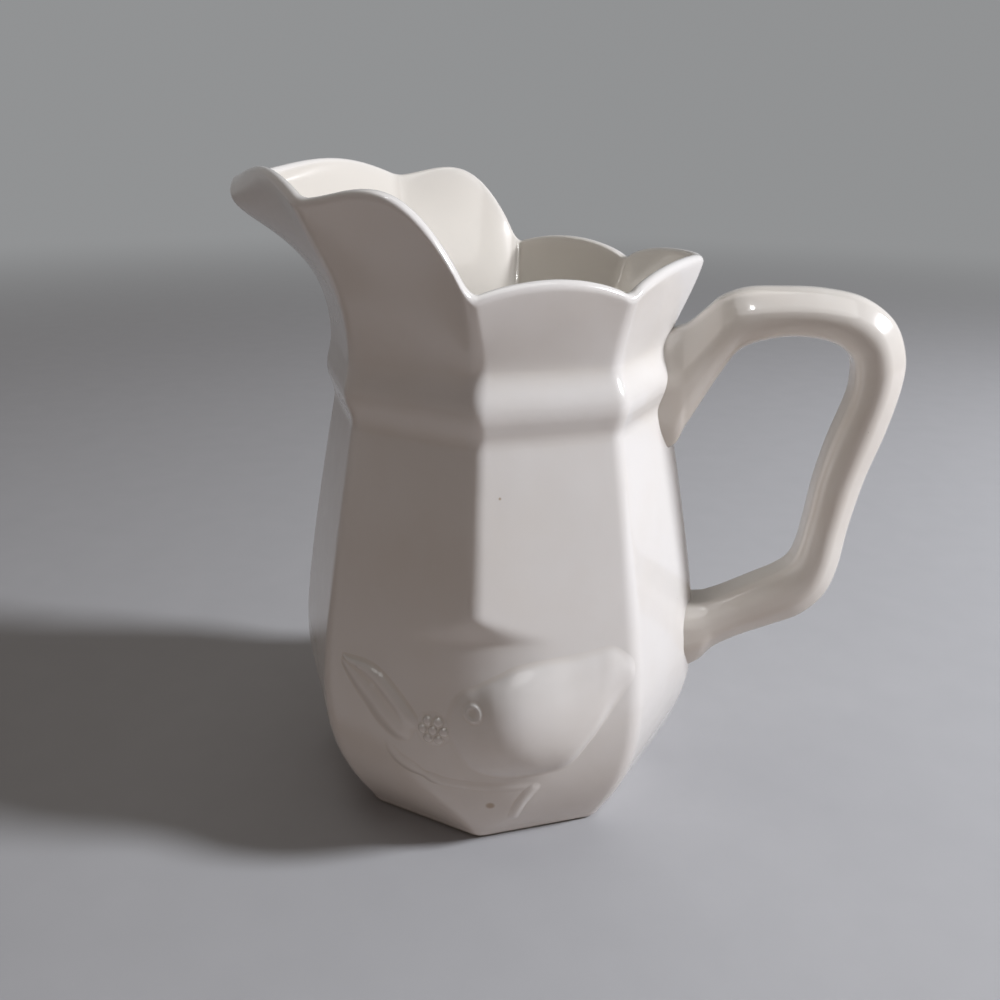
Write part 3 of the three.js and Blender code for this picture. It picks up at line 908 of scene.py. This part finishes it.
@dataclass
class Body(Part):
    """The cast body: foot, wall, ring moulding, scalloped collar and spout."""

    slot: ClassVar[Slot] = Slot.BODY
    columns: int = 36
    crowding: float = 0.6
    # Where the painted shade inside the pitcher begins and where it is full, in wall thicknesses in from
    # the outside.
    inside_shade_depth: Pair = (0.3, 0.8)

    def build(self) -> bpy.types.Object:
        """Turns the section in eight steps, cuts the faces into columns and shapes the wall.

        Returns:
            The body.
        """
        chain = WALL.profile()
        start = Vector((chain[0, 0], 0, chain[0, 1])) + AXIS
        bpy.ops.object.select_all(action="DESELECT")
        bpy.ops.mesh.primitive_plane_add(size=MM, location=start)
        obj = self.adopt("body", bpy.context.object)
        bpy.ops.object.transform_apply(location=True, rotation=True, scale=True)
        edit(obj)
        bpy.ops.mesh.select_all(action="SELECT")
        bpy.ops.mesh.merge(type="CENTER")
        for step in np.diff(chain, axis=0):
            bpy.ops.mesh.extrude_region_move(TRANSFORM_OT_translate={"value": (step[0], 0, step[1])})
        bpy.ops.mesh.select_all(action="SELECT")
        bpy.ops.mesh.spin(steps=SIDES, angle=2 * math.pi, center=AXIS, axis=(0, 0, 1))
        bpy.ops.mesh.select_all(action="SELECT")
        bpy.ops.mesh.remove_doubles(threshold=TINY)
        self._cut_columns(obj)
        bpy.ops.mesh.select_all(action="DESELECT")
        bpy.ops.mesh.select_non_manifold(extend=False, use_wire=False, use_boundary=True,
                                         use_multi_face=False, use_non_contiguous=False, use_verts=False)
        bpy.ops.mesh.fill_holes(sides=0)
        bpy.ops.mesh.select_all(action="SELECT")
        bpy.ops.mesh.normals_make_consistent(inside=False)
        done()
        self._shape(obj)
        bpy.ops.object.shade_smooth()
        return obj

    def _cut_columns(self, obj: bpy.types.Object) -> None:
        """Cuts every face of the octagon into upright columns.

        Args:
            obj: The body, in edit mode.
        """
        bpy.ops.mesh.select_mode(type="EDGE")
        bpy.ops.mesh.select_all(action="DESELECT")
        mesh = bmesh.from_edit_mesh(obj.data)
        for edge in mesh.edges:
            a, b = (v.co - AXIS for v in edge.verts)
            edge.select = abs(a.z - b.z) < TINY and abs(a.xy.length - b.xy.length) < TINY
        bmesh.update_edit_mesh(obj.data)
        bpy.ops.mesh.subdivide(number_cuts=self.columns - 1)
        bpy.ops.mesh.select_mode(type="VERT")

    def _shape(self, obj: bpy.types.Object) -> None:
        """Moves each vertex of the straight prism to its place on the finished wall.

        Args:
            obj: The body, as a straight prism.
        """
        points = read_points(obj) - AXIS_ROW
        turn = (np.arctan2(points[:, 1], points[:, 0]) - math.pi) % (2 * math.pi)
        face = np.floor(turn / TURN + LEAST).astype(int) % SIDES
        local = (turn - face * TURN + math.pi) % (2 * math.pi) - math.pi - HALF_TURN
        s = np.clip(0.5 + 0.5 * np.tan(local) / math.tan(HALF_TURN), 0, 1)
        s = s - self.crowding * np.sin(2 * math.pi * s) / (2 * math.pi)
        radius = np.hypot(points[:, 0], points[:, 1]) * np.cos(local) / math.cos(HALF_TURN)
        height = points[:, 2]
        length = WALL.face_length(face, radius, height)
        near = np.where(s < 0.5, face, face + 1) % SIDES
        along = np.where(s < 0.5, s, s - 1) * length
        write_points(obj, WALL.place(near, along, radius, height) + AXIS_ROW)
        outside = np.where(height > WALL.neck[1], WALL.neck[0], WALL.corner_radius(height))
        depth = smooth_step(*self.inside_shade_depth, (outside - radius) / WALL.wall)
        # Marks the inside of the pitcher, whose glaze gets painted shade.
        paint(obj, "inside", depth * (height > WALL.floor_top - MM))
        mark_relief(obj)


@dataclass(frozen=True)
class Station:
    """One section of the handle: facing points of its outlines, and its width."""

    outer: Pair
    inner: Pair
    width: float


@dataclass
class Handle(Part):
    """The faceted loop handle, which enters the wall at two places."""

    slot: ClassVar[Slot] = Slot.HANDLE
    stations: tuple[Station, ...] = (
        Station((0.0370, 0.1340), (0.0370, 0.1040), 0.0190),
        Station((0.0475, 0.1372), (0.0482, 0.1045), 0.0183),
        Station((0.0513, 0.1386), (0.0522, 0.1110), 0.0176),
        Station((0.0553, 0.1422), (0.0564, 0.1186), 0.0166),
        Station((0.0596, 0.1460), (0.0603, 0.1256), 0.0162),
        Station((0.0658, 0.1483), (0.0653, 0.1326), 0.0160),
        Station((0.0745, 0.1488), (0.0745, 0.1358), 0.0160),
        Station((0.0855, 0.1486), (0.0835, 0.1360), 0.0160),
        Station((0.0962, 0.1464), (0.0903, 0.1342), 0.0160),
        Station((0.1044, 0.1406), (0.0946, 0.1302), 0.0160),
        Station((0.1084, 0.1320), (0.0956, 0.1250), 0.0160),
        Station((0.1087, 0.1235), (0.0950, 0.1190), 0.0160),
        Station((0.1063, 0.1105), (0.0916, 0.1070), 0.0160),
        Station((0.1026, 0.0970), (0.0892, 0.0955), 0.0158),
        Station((0.0999, 0.0825), (0.0878, 0.0840), 0.0156),
        Station((0.0984, 0.0695), (0.0865, 0.0756), 0.0154),
        Station((0.0956, 0.0608), (0.0846, 0.0708), 0.0154),
        Station((0.0896, 0.0542), (0.0808, 0.0676), 0.0156),
        Station((0.0815, 0.0502), (0.0757, 0.0648), 0.0158),
        Station((0.0722, 0.0460), (0.0695, 0.0614), 0.0162),
        Station((0.0652, 0.0418), (0.0640, 0.0586), 0.0170),
        Station((0.0604, 0.0366), (0.0594, 0.0572), 0.0182),
        Station((0.0500, 0.0310), (0.0500, 0.0570), 0.0200),
    )
    outer_bevel: Pair = (0.84, 0.66)
    inner_bevel: Pair = (0.46, 0.36)
    steps: int = 250
    crowding: float = 0.45
    start_radius: float = 0.008
    sharp_angle: float = 20.0
    edge_round: float = 0.0019
    edge_cuts: int = 5
    bite: float = 0.0016

    def section(self) -> list[Pair]:
        """The bevelled section of the bar.

        Returns:
            Its corners, outwards and across, each from -1 to 1.
        """
        deep, wide = self.outer_bevel
        inner_deep, inner_wide = self.inner_bevel
        outside = [(1 - deep, 1.0), (1.0, 1 - wide)]
        inside = [(-1.0, 1 - inner_wide), (inner_deep - 1, 1.0)]
        turned = [[(out, -across) for out, across in reversed(side)] for side in (outside, inside)]
        return [*outside, *turned[0], *turned[1], *inside]

    def build(self) -> None:
        """Draws the eight-sided bar out along its loop and rounds its edges."""
        bpy.ops.object.select_all(action="DESELECT")
        bpy.ops.mesh.primitive_circle_add(vertices=SIDES, radius=self.start_radius, fill_type="NGON",
                                          location=AXIS)
        obj = self.adopt("handle", bpy.context.object)
        bpy.ops.object.transform_apply(location=True, rotation=True, scale=True)
        rows = [self._row(0.0)]
        edit(obj)
        bpy.ops.mesh.select_all(action="SELECT")
        for step in range(1, self.steps + 1):
            bpy.ops.mesh.extrude_region_move(TRANSFORM_OT_translate={"value": (0, 0, MM)})
            rows.append(self._row(step / self.steps))
        done()
        self._bend(obj, np.array(rows))
        self._round_edges(obj)
        self._stop_in_wall(obj)
        bpy.ops.object.shade_smooth()

    def _row(self, share: float) -> Array:
        """One section of the bar; the sections lie closer together at both ends.

        Args:
            share: The share of the way round.

        Returns:
            The places of the eight corners.
        """
        t = np.array([share - self.crowding * math.sin(2 * math.pi * share) / (2 * math.pi)])
        outer = catmull_rom(np.array([s.outer for s in self.stations]), t)[0]
        inner = catmull_rom(np.array([s.inner for s in self.stations]), t)[0]
        width = catmull_rom(np.array([[s.width] for s in self.stations]), t)[0, 0]
        centre, out = (outer + inner) / 2, (outer - inner) / 2
        flat = [centre + out * deep for deep, _ in self.section()]
        return np.array([(p[0], wide * width / 2, p[1]) for p, (_, wide) in zip(flat, self.section())])

    def _bend(self, obj: bpy.types.Object, rows: Array) -> None:
        """Moves the straight bar's corners to the rows of the loop.

        Args:
            obj: The straight bar.
            rows: The places of the corners, section by section.
        """
        points = read_points(obj) - AXIS_ROW
        level = np.clip(np.rint(points[:, 2] / MM).astype(int), 0, self.steps)
        turn = np.arctan2(points[:, 1], points[:, 0])
        corner = np.rint(turn / TURN).astype(int) % SIDES
        write_points(obj, rows[level, corner] + AXIS_ROW)

    def _round_edges(self, obj: bpy.types.Object) -> None:
        """Bevels the long edges of the bar and cleans its normals.

        Args:
            obj: The bent bar.
        """
        edit(obj, "EDGE")
        mesh, sharp = bmesh.from_edit_mesh(obj.data), math.radians(self.sharp_angle)
        for edge in mesh.edges:
            quads = [f for f in edge.link_faces if len(f.verts) == 4]
            if len(quads) == 2 and quads[0].normal.angle(quads[1].normal, 0) > sharp:
                edge.select = True
        bmesh.update_edit_mesh(obj.data)
        bpy.ops.mesh.bevel(offset=self.edge_round, offset_type="OFFSET", segments=self.edge_cuts,
                           profile=0.5, affect="EDGES", clamp_overlap=True)
        bpy.ops.mesh.select_all(action="SELECT")
        bpy.ops.mesh.remove_doubles(threshold=TINY)
        bpy.ops.mesh.normals_make_consistent(inside=False)
        done()

    def _stop_in_wall(self, obj: bpy.types.Object) -> None:
        """Ends the bar inside the wall, so that it doesn't show in the pitcher.

        Args:
            obj: The handle.
        """
        points = read_points(obj)
        x, y, z = (points - AXIS_ROW).T
        corner = np.where(z > WALL.neck[1], WALL.neck[0], WALL.corner_radius(z))
        deepest = corner - np.abs(y) * math.tan(HALF_TURN) - self.bite
        points[:, 0] = np.maximum(x, deepest) + AXIS.x
        write_points(obj, points)


@dataclass
class Sprig(Part):
    """A relief piece pressed from a small mould: a height field over the wall."""

    slot: ClassVar[Slot] = Slot.RELIEF
    name: str
    across: int
    along: int
    skin: float = 0.0012
    sink: float = 0.000012
    lift_off: float = 0.0005
    smooth_angle: float = 55.0

    def lay(self, t: Array, w: Array) -> Relief:
        """Lays the piece on the wall.

        Args:
            t: Shares of the way along the piece.
            w: Shares of the way across it.

        Returns:
            Distances from the corner, heights over the table, and the relief.
        """
        raise NotImplementedError

    def build(self, wall: BVHTree) -> None:
        """Models the piece on the photographed side and its mirror image on the other.

        Args:
            wall: The body's faces, which the piece's border follows.
        """
        bpy.ops.object.select_all(action="DESELECT")
        bpy.ops.mesh.primitive_grid_add(x_subdivisions=self.along, y_subdivisions=self.across, size=1)
        near = self.adopt(f"{self.name}_left", bpy.context.object)
        points = read_points(near)
        u, z, proud = self.lay(points[:, 0] + 0.5, points[:, 1] + 0.5)
        write_points(near, self._settle(u, z, proud, wall))
        self._turn_out(near)
        mark_relief(near)
        paint(near, "inside", np.zeros(len(u)))
        shell = near.modifiers.new("thickness", "SOLIDIFY")
        shell.thickness = self.skin
        shell.offset = -1
        bpy.ops.object.modifier_apply(modifier=shell.name)
        self._face_out(near)
        far = self.adopt(f"{self.name}_right", near.copy())
        far.data = near.data.copy()
        bpy.context.scene.collection.objects.link(far)
        edit(far)
        bpy.ops.mesh.select_all(action="SELECT")
        bpy.ops.transform.resize(value=(1, -1, 1), center_override=(0, 0, 0))
        done()
        self._face_out(far)

    def _turn_out(self, obj: bpy.types.Object) -> None:
        """Flips an open sheet whose faces look at the wall.

        Args:
            obj: The sheet.
        """
        outwards = (read_points(obj) - AXIS_ROW)[:, :2]
        if (outwards * read_points(obj, "normal")[:, :2]).sum() < 0:
            edit(obj)
            bpy.ops.mesh.select_all(action="SELECT")
            bpy.ops.mesh.flip_normals()
            done()

    def _settle(self, u: Array, z: Array, proud: Array, wall: BVHTree) -> Array:
        """Points over the smooth wall that run down to its faces where the relief runs out.

        Args:
            u: Distances from the corner.
            z: Heights over the table.
            proud: The relief at each point.
            wall: The body's faces.

        Returns:
            The points as rows.
        """
        base = on_wall(u, z, np.zeros(len(u)))
        normal = (on_wall(u, z, np.full(len(u), MM)) - base) / MM
        faces = np.array([wall.find_nearest(point)[0] for point in base])
        lifted = smooth_step(0, self.lift_off, proud)[:, None]
        return faces * (1 - lifted) + base * lifted + normal * (proud - self.sink)[:, None]

    def _face_out(self, obj: bpy.types.Object) -> None:
        """Merges doubles, turns the faces outwards and smooths the shading.

        Args:
            obj: The closed piece.
        """
        edit(obj)
        bpy.ops.mesh.select_all(action="SELECT")
        bpy.ops.mesh.remove_doubles(threshold=LEAST)
        bpy.ops.mesh.normals_make_consistent(inside=False)
        done()
        bpy.ops.object.shade_smooth_by_angle(angle=math.radians(self.smooth_angle))


def melt(height: Array, reach: float) -> Array:
    """Lets a relief melt into its ground, which it meets where its height is -reach."""
    rounded = (height + reach) ** 2 / (4 * reach)
    return np.where(height <= -reach, 0, np.where(height >= reach, height, rounded))


@dataclass
class Ribbed(Sprig):
    """A sprig lofted over ribs; each rib's marks are distance, height and relief in mm.

    Marks with a negative relief lie outside the piece, where it has melted into the wall.
    """

    ribs: tuple[tuple[Triple, ...], ...] = ()
    foot: float = 0.0004

    def lay(self, t: Array, w: Array) -> Relief:
        """Runs a smooth curve along each rib and a second one from rib to rib.

        Args:
            t: Shares of the way along the piece.
            w: Shares of the way across it.

        Returns:
            Distances from the corner, heights over the table, and the relief.
        """
        marks = np.array(self.ribs) * MM
        through = catmull_rom(marks, t)
        spread = np.empty((len(t), 3))
        for i, share in enumerate(w):
            spread[i] = catmull_rom(through[i], np.array([share]))[0]
        return spread[:, 0], spread[:, 1], melt(spread[:, 2], self.foot)


@dataclass
class Bird(Ribbed):
    """The bird: ring-shaped eye, round head and breast, and one large smooth wing."""

    name: str = "bird"
    across: int = 90
    along: int = 110
    eye: Spot = Spot(0.0002, 0.0483)
    eye_ring: float = 0.0018
    eye_bead: float = 0.0005
    eye_height: float = 0.00055
    ribs: tuple[tuple[Triple, ...], ...] = (
        ((-7, 56, -1.2), (-8, 53.5, -1.2), (-9, 50, -1.2), (-10, 46, -1.2), (-10.5, 41, -1.2),
         (-10, 36, -1.2), (-8, 30, -1.2)),
        ((-2.5, 57, -1.2), (-3, 54.2, -0.4), (-4, 50.5, 0.4), (-5, 46, 0.7), (-5.5, 41, 0.6), (-5, 36, 0.1),
         (-4, 30, -0.8)),
        ((1, 58.5, -1.2), (1, 55.2, -0.2), (1, 50.5, 1.8), (0.5, 45.5, 2.6), (0, 40, 2.4), (0, 34, 1.3),
         (0, 27, -0.7)),
        ((6, 60.5, -1.2), (6, 57, 0.1), (6, 52, 3.0), (6, 46, 4.2), (5.5, 39.5, 3.9), (5.5, 33, 2.2),
         (5, 26, -0.6)),
        ((12, 62.6, -1.2), (12, 59, 0.4), (12, 53.5, 3.2), (12, 47, 4.5), (12, 39.5, 4.2), (12, 33, 2.4),
         (12, 25.5, -0.6)),
        ((20, 63.6, -1.2), (20, 60.2, 0.3), (20, 55, 2.4), (20, 47.5, 3.6), (20, 40, 3.4), (20, 33, 2.0),
         (20, 25.5, -0.8)),
        ((27, 64, -1.1), (27, 60.6, 0.2), (27, 56, 1.7), (27, 49, 2.7), (27, 41, 2.6), (27, 34, 1.7),
         (26.5, 26, -1.2)),
        ((33, 64.6, -1.1), (33, 61.2, 0.2), (33, 57, 1.3), (33, 51.5, 1.9), (33, 46, 1.8), (33, 40, 1.2),
         (32.5, 32.5, -1.6)),
        ((38, 65, -1.1), (38, 61.2, 0.2), (38, 58, 0.9), (38, 54.5, 1.2), (38, 51, 1.0), (38.3, 47, 0.4),
         (39.5, 41, -1.5)),
        ((43.5, 62, -1.2), (43.6, 59, -0.4), (43.8, 57, -0.1), (44, 55, 0), (44.2, 53, -0.2),
         (44.3, 50.5, -0.8), (44.5, 47, -1.4)),
        ((46, 62, -1.2), (46, 59, -1.2), (46, 57, -1.2), (46, 55, -1.2), (46, 53, -1.2), (46, 50, -1.2),
         (46, 47, -1.2)),
    )

    def lay(self, t: Array, w: Array) -> Relief:
        """The lofted bird with the ring of its eye on the head.

        Args:
            t: Shares of the way along the piece.
            w: Shares of the way across it.

        Returns:
            Distances from the corner, heights over the table, and the relief.
        """
        u, z, height = super().lay(t, w)
        away = np.hypot(u - self.eye.u, z - self.eye.z)
        ring = self.eye_height * np.exp(-((away - self.eye_ring) / self.eye_bead) ** 2)
        return u, z, height + ring


@dataclass
class Leaf(Ribbed):
    """The long leaf in front of the bird, with a groove beside its upper edge."""

    name: str = "leaf"
    across: int = 40
    along: int = 70
    foot: float = 0.00025
    beads: tuple[Spot, ...] = (Spot(-0.0272, 0.0528), Spot(-0.0296, 0.0496), Spot(-0.0338, 0.0538))
    bead_radius: float = 0.0006
    bead_height: float = 0.0003
    ribs: tuple[tuple[Triple, ...], ...] = (
        ((-40.5, 58, -0.8), (-40.8, 57, -0.8), (-41, 56, -0.8), (-41.2, 55, -0.8), (-41.4, 54, -0.8),
         (-41.6, 53, -0.8), (-41.8, 52, -0.8)),
        ((-37.6, 57.2, -0.8), (-37.8, 55.6, 0.1), (-38, 54.8, 0.7), (-38.2, 54, 0.6), (-38.6, 53, 0.6),
         (-39.2, 51.8, 0.1), (-40, 50, -0.8)),
        ((-31.5, 57.4, -0.8), (-32, 55.4, 0.2), (-32.6, 54, 1.3), (-33.6, 52.2, 0.8), (-34.8, 50, 1.1),
         (-36.2, 47.6, 0.1), (-37.6, 45.4, -0.8)),
        ((-26.5, 55.6, -0.8), (-27.3, 53.8, 0.2), (-28.2, 52, 1.5), (-29.4, 49.6, 0.8), (-30.8, 46.6, 1.2),
         (-32.6, 43.6, 0.1), (-34, 41.2, -0.8)),
        ((-20.8, 51.2, -0.8), (-21.8, 49.4, 0.2), (-22.8, 47.4, 1.4), (-24.2, 44.8, 0.8),
         (-25.8, 41.6, 1.2), (-28, 38.4, 0.1), (-29.6, 36.2, -0.8)),
        ((-16.2, 46.6, -0.8), (-17.2, 44.8, 0.1), (-18.4, 43, 1.1), (-19.8, 40.6, 0.8), (-21.4, 38, 1.0),
         (-23.2, 35.4, 0.1), (-24.8, 33.2, -0.8)),
        ((-12.4, 43.6, -0.8), (-13.2, 42, -0.8), (-14.2, 40.2, -0.8), (-15.4, 38, -0.8),
         (-16.8, 35.6, -0.8), (-18.4, 33.4, -0.8), (-20, 31.4, -0.8)),
    )

    def lay(self, t: Array, w: Array) -> Relief:
        """The lofted leaf with the drops that the glaze left on its upper edge.

        Args:
            t: Shares of the way along the piece.
            w: Shares of the way across it.

        Returns:
            Distances from the corner, heights over the table, and the relief.
        """
        u, z, height = super().lay(t, w)
        for bead in self.beads:
            away = np.hypot(u - bead.u, z - bead.z) / self.bead_radius
            height = height + self.bead_height * np.exp(-(away**2))
        return u, z, height


@dataclass
class Branch(Sprig):
    """A rounded branch along one route, whose marks are distance, height, half width and relief in mm."""

    route: tuple[tuple[float, float, float, float], ...] = ()
    run_in: Pair = (0, 0.2)
    run_out: Pair = (1, 0.85)
    stride: float = 0.01

    def lay(self, t: Array, w: Array) -> Relief:
        """A strip square to the route, highest in the middle and run out at its edges.

        Args:
            t: Shares of the way along the piece.
            w: Shares of the way across it.

        Returns:
            Distances from the corner, heights over the table, and the relief.
        """
        marks = np.array(self.route) * MM
        at, ahead = catmull_rom(marks, t), catmull_rom(marks, np.minimum(t + self.stride, 1))
        behind = catmull_rom(marks, np.maximum(t - self.stride, 0))
        tangent = (ahead - behind)[:, :2]
        tangent /= np.linalg.norm(tangent, axis=1, keepdims=True)
        side = (2 * w - 1)[:, None]
        place = at[:, :2] + np.column_stack([-tangent[:, 1], tangent[:, 0]]) * side * at[:, 2:3]
        profile = (1 - side[:, 0] ** 2) ** 2
        ends = smooth_step(*self.run_in, t) * smooth_step(*self.run_out, t)
        return place[:, 0], place[:, 1], at[:, 3] * profile * ends


@dataclass
class Stem(Branch):
    """The thicker stem under the leaf, which runs on below the bird."""

    name: str = "stem"
    across: int = 20
    along: int = 120
    route: tuple[tuple[float, float, float, float], ...] = (
        (-26.0, 35.0, 1.6, 0.1), (-25.0, 31.0, 2.0, 0.35), (-22.4, 28.2, 2.6, 0.5),
        (-18.8, 26.6, 2.8, 0.55), (-15.2, 25.2, 1.8, 0.3), (-12.5, 24.3, 2.4, 0.5), (-8.0, 23.6, 2.0, 0.25),
        (2.0, 23.2, 2.0, 0.2), (12.0, 23.0, 2.0, 0.18), (19.0, 23.8, 1.8, 0.1))


@dataclass
class Twig(Branch):
    """The thin twig under the tail of the wing."""

    name: str = "twig"
    across: int = 20
    along: int = 60
    route: tuple[tuple[float, float, float, float], ...] = (
        (18.6, 24.0, 1.8, 0.1), (16.8, 22.0, 2.1, 0.25), (14.8, 19.4, 2.2, 0.34), (12.8, 15.8, 2.2, 0.36),
        (11.2, 11.4, 2.1, 0.3), (10.4, 7.2, 1.8, 0.1))


@dataclass
class Berries(Sprig):
    """The bunch of berries between the leaf and the beak."""

    name: str = "berries"
    across: int = 70
    along: int = 70
    centre: Spot = Spot(-0.0114, 0.0410)
    reach: float = 0.0058
    spacing: float = 0.0031
    berry: float = 0.0013
    height: float = 0.0011
    count: int = 6
    boss: float = 0.4
    boss_top: float = 0.4
    fullness: float = 0.8

    def lay(self, t: Array, w: Array) -> Relief:
        """One berry in the middle and the others round it, on a low boss.

        Args:
            t: Shares of the way along the piece.
            w: Shares of the way across it.

        Returns:
            Distances from the corner, heights over the table, and the relief.
        """
        u = self.centre.u + (2 * t - 1) * self.reach
        z = self.centre.z + (2 * w - 1) * self.reach
        out = np.hypot(u - self.centre.u, z - self.centre.z)
        boss = self.boss * self.height * smooth_step(self.reach, self.boss_top * self.reach, out)
        lumps = np.zeros_like(u)
        for k in range(self.count + 1):
            turn = 2 * math.pi * k / self.count
            ring = 0.0 if k == self.count else self.spacing
            du, dz = ring * math.cos(turn), ring * math.sin(turn)
            away = np.hypot(u - self.centre.u - du, z - self.centre.z - dz)
            lumps = np.maximum(lumps, self.height * np.sqrt(np.clip(1 - (away / self.berry) ** 2, 0, 1)))
        return u, z, boss + self.fullness * lumps


@dataclass(frozen=True)
class View:
    """The camera of the photograph: its place from the pitcher's axis, and its turn."""

    place: Triple = (0.02969, -0.27483, 0.18928)
    heading: float = 96.068
    pitch: float = 20.709
    roll: float = -0.554
    lens: float = 36.27
    sensor: float = 36.0
    clip: Pair = (0.01, 50)

    def build(self) -> bpy.types.Object:
        """Adds the camera and makes it the scene's.

        Returns:
            The camera.
        """
        head, down, roll = (math.radians(a) for a in (self.heading, self.pitch, self.roll))
        forward = Vector((math.cos(head) * math.cos(down), math.sin(head) * math.cos(down),
                          -math.sin(down)))
        right = Vector((math.sin(head), -math.cos(head), 0))
        below = forward.cross(right)
        image_x = right * math.cos(roll) + below * math.sin(roll)
        image_y = below * math.cos(roll) - right * math.sin(roll)
        axes = Matrix((image_x, -image_y, -forward)).transposed()
        data = bpy.data.cameras.new("camera")
        data.lens, data.sensor_width = self.lens, self.sensor
        data.clip_start, data.clip_end = self.clip
        camera = bpy.data.objects.new("camera", data)
        camera.matrix_world = Matrix.Translation(Vector(self.place) + AXIS) @ axes.to_4x4()
        bpy.context.scene.collection.objects.link(camera)
        bpy.context.scene.camera = camera
        return camera


@dataclass(frozen=True)
class Lamp:
    """A soft round lamp that looks at the middle of the pitcher."""

    name: str
    azimuth: float
    elevation: float
    distance: float
    size: float
    power: float
    colour: Triple
    role: Role = Role.LIGHT
    aim: float = 0.08

    def build(self) -> bpy.types.Object:
        """Adds the lamp at its bearing from the pitcher.

        Returns:
            The lamp.
        """
        data = bpy.data.lights.new(self.name, "AREA")
        data.shape, data.size = "DISK", self.size
        data.energy, data.color = self.power, self.colour
        lamp = bpy.data.objects.new(self.name, data)
        a, e = math.radians(self.azimuth), math.radians(self.elevation)
        away = Vector((math.cos(a) * math.cos(e), math.sin(a) * math.cos(e), math.sin(e)))
        lamp.location = AXIS + Vector((0, 0, self.aim)) + away * self.distance
        lamp.rotation_euler = away.to_track_quat("Z", "Y").to_euler()
        lamp.visible_diffuse = self.role is Role.LIGHT
        bpy.context.scene.collection.objects.link(lamp)
        return lamp


@dataclass
class Studio:
    """The pale floor, the soft lamps and the even surroundings."""

    floor_radius: float = 6.0
    floor_sides: int = 96
    fade: Pair = (0.5, 1.6)
    weave: Cloud = Cloud(60.0, 4.0, 0.5)
    light_cloth: Colour = (0.465, 0.47, 0.485, 1)
    dark_cloth: Colour = (0.435, 0.44, 0.455, 1)
    bounce: Colour = (0.39, 0.345, 0.32, 1)
    cloth_rough: float = 0.9
    backdrop: Colour = (0.285, 0.29, 0.295, 1)
    fill: Colour = (1.0, 0.83, 0.75, 1)
    fill_strength: float = 0.375
    fill_overhead: float = 0.02
    fill_rise: Pair = (0.0, 0.75)
    lamps: tuple[Lamp, ...] = (
        Lamp("key", -2.0, 31.0, 1.15, 0.17, 15.1, (0.935, 0.95, 1.0)),
        Lamp("top", 150.0, 80.0, 1.6, 1.2, 4.2, (1.0, 0.97, 0.92)),
        Lamp("sky", -70.0, 66.0, 1.5, 1.7, 10.0, (1.0, 1.0, 1.0), Role.SHEEN),
        Lamp("window", -100.0, 66.0, 1.5, 0.08, 1.1, (1.0, 1.0, 1.0), Role.SHEEN),
    )

    def build(self) -> None:
        """Lays the floor, hangs the lamps and sets the world."""
        bpy.ops.object.select_all(action="DESELECT")
        bpy.ops.mesh.primitive_circle_add(vertices=self.floor_sides, radius=self.floor_radius,
                                          fill_type="NGON", location=AXIS)
        floor = bpy.context.object
        floor.name = "floor"
        made, g = new_material("pale_floor")
        place = g.out(g.node("ShaderNodeTexCoord"), "Object")
        colour = g.blend(g.noise(place, self.weave), self.dark_cloth, self.light_cloth)
        colour = g.blend(self._shown(g), self.bounce, colour)
        cloth = g.node("ShaderNodeBsdfPrincipled", Base_Color=colour, Roughness=self.cloth_rough,
                       Specular_IOR_Level=0.0)
        seen = g.node("ShaderNodeEmission", Color=self.backdrop, Strength=1.0)
        away = g.out(g.node("ShaderNodeVectorMath", {"operation": "LENGTH"}, Vector=place), "Value")
        factor = away.rise(*self.fade) * self._shown(g)
        both = g.node("ShaderNodeMixShader", in_0=factor, in_1=g.out(cloth), in_2=g.out(seen))
        g.node("ShaderNodeOutputMaterial", Surface=g.out(both))
        floor.data.materials.append(made)
        for lamp in self.lamps:
            lamp.build()
        self._surround()

    def _shown(self, g: Graph) -> Output:
        """1 where the camera or a reflection looks, and 0 for all other light.

        Args:
            g: The graph of a material or a world.

        Returns:
            The mask.
        """
        path = g.node("ShaderNodeLightPath")
        seen = g.out(path, "Is Camera Ray") + g.out(path, "Is Glossy Ray")
        return seen + g.out(path, "Is Transmission Ray")

    def _surround(self) -> None:
        """Lights the scene evenly from all round, and shows a pale backdrop to the camera."""
        world = bpy.data.worlds.new("studio")
        world.use_nodes = True
        bpy.context.scene.world = world
        g = Graph(world.node_tree)
        ahead = g.out(g.node("ShaderNodeTexCoord"), "Generated")
        up = g.out(g.node("ShaderNodeSeparateXYZ", Vector=ahead), "Z")
        strength = self.fill_strength - (self.fill_strength - self.fill_overhead) * up.rise(*self.fill_rise)
        fill = g.node("ShaderNodeBackground", Color=self.fill, Strength=strength)
        seen = g.node("ShaderNodeBackground", Color=self.backdrop, Strength=1.0)
        both = g.node("ShaderNodeMixShader", in_0=self._shown(g), in_1=g.out(fill), in_2=g.out(seen))
        g.node("ShaderNodeOutputWorld", Surface=g.out(both))


def main() -> None:
    """Builds the pitcher and its studio."""
    logging.basicConfig(level=logging.INFO, format="%(name)s: %(message)s")
    bpy.context.scene.view_settings.view_transform = "Standard"
    View().build()
    Studio().build()
    body, handle = Body(), Handle()
    wall = body.build()
    body.dress(BODY_GLAZE.material())
    handle.build()
    handle.dress(HANDLE_GLAZE.material())
    relief = RELIEF_GLAZE.material()
    faces = BVHTree.FromObject(wall, bpy.context.evaluated_depsgraph_get())
    for sprig in (Bird(), Leaf(), Stem(), Twig(), Berries()):
        sprig.build(faces)
        sprig.dress(relief)


if __name__ == "__main__":
    main()
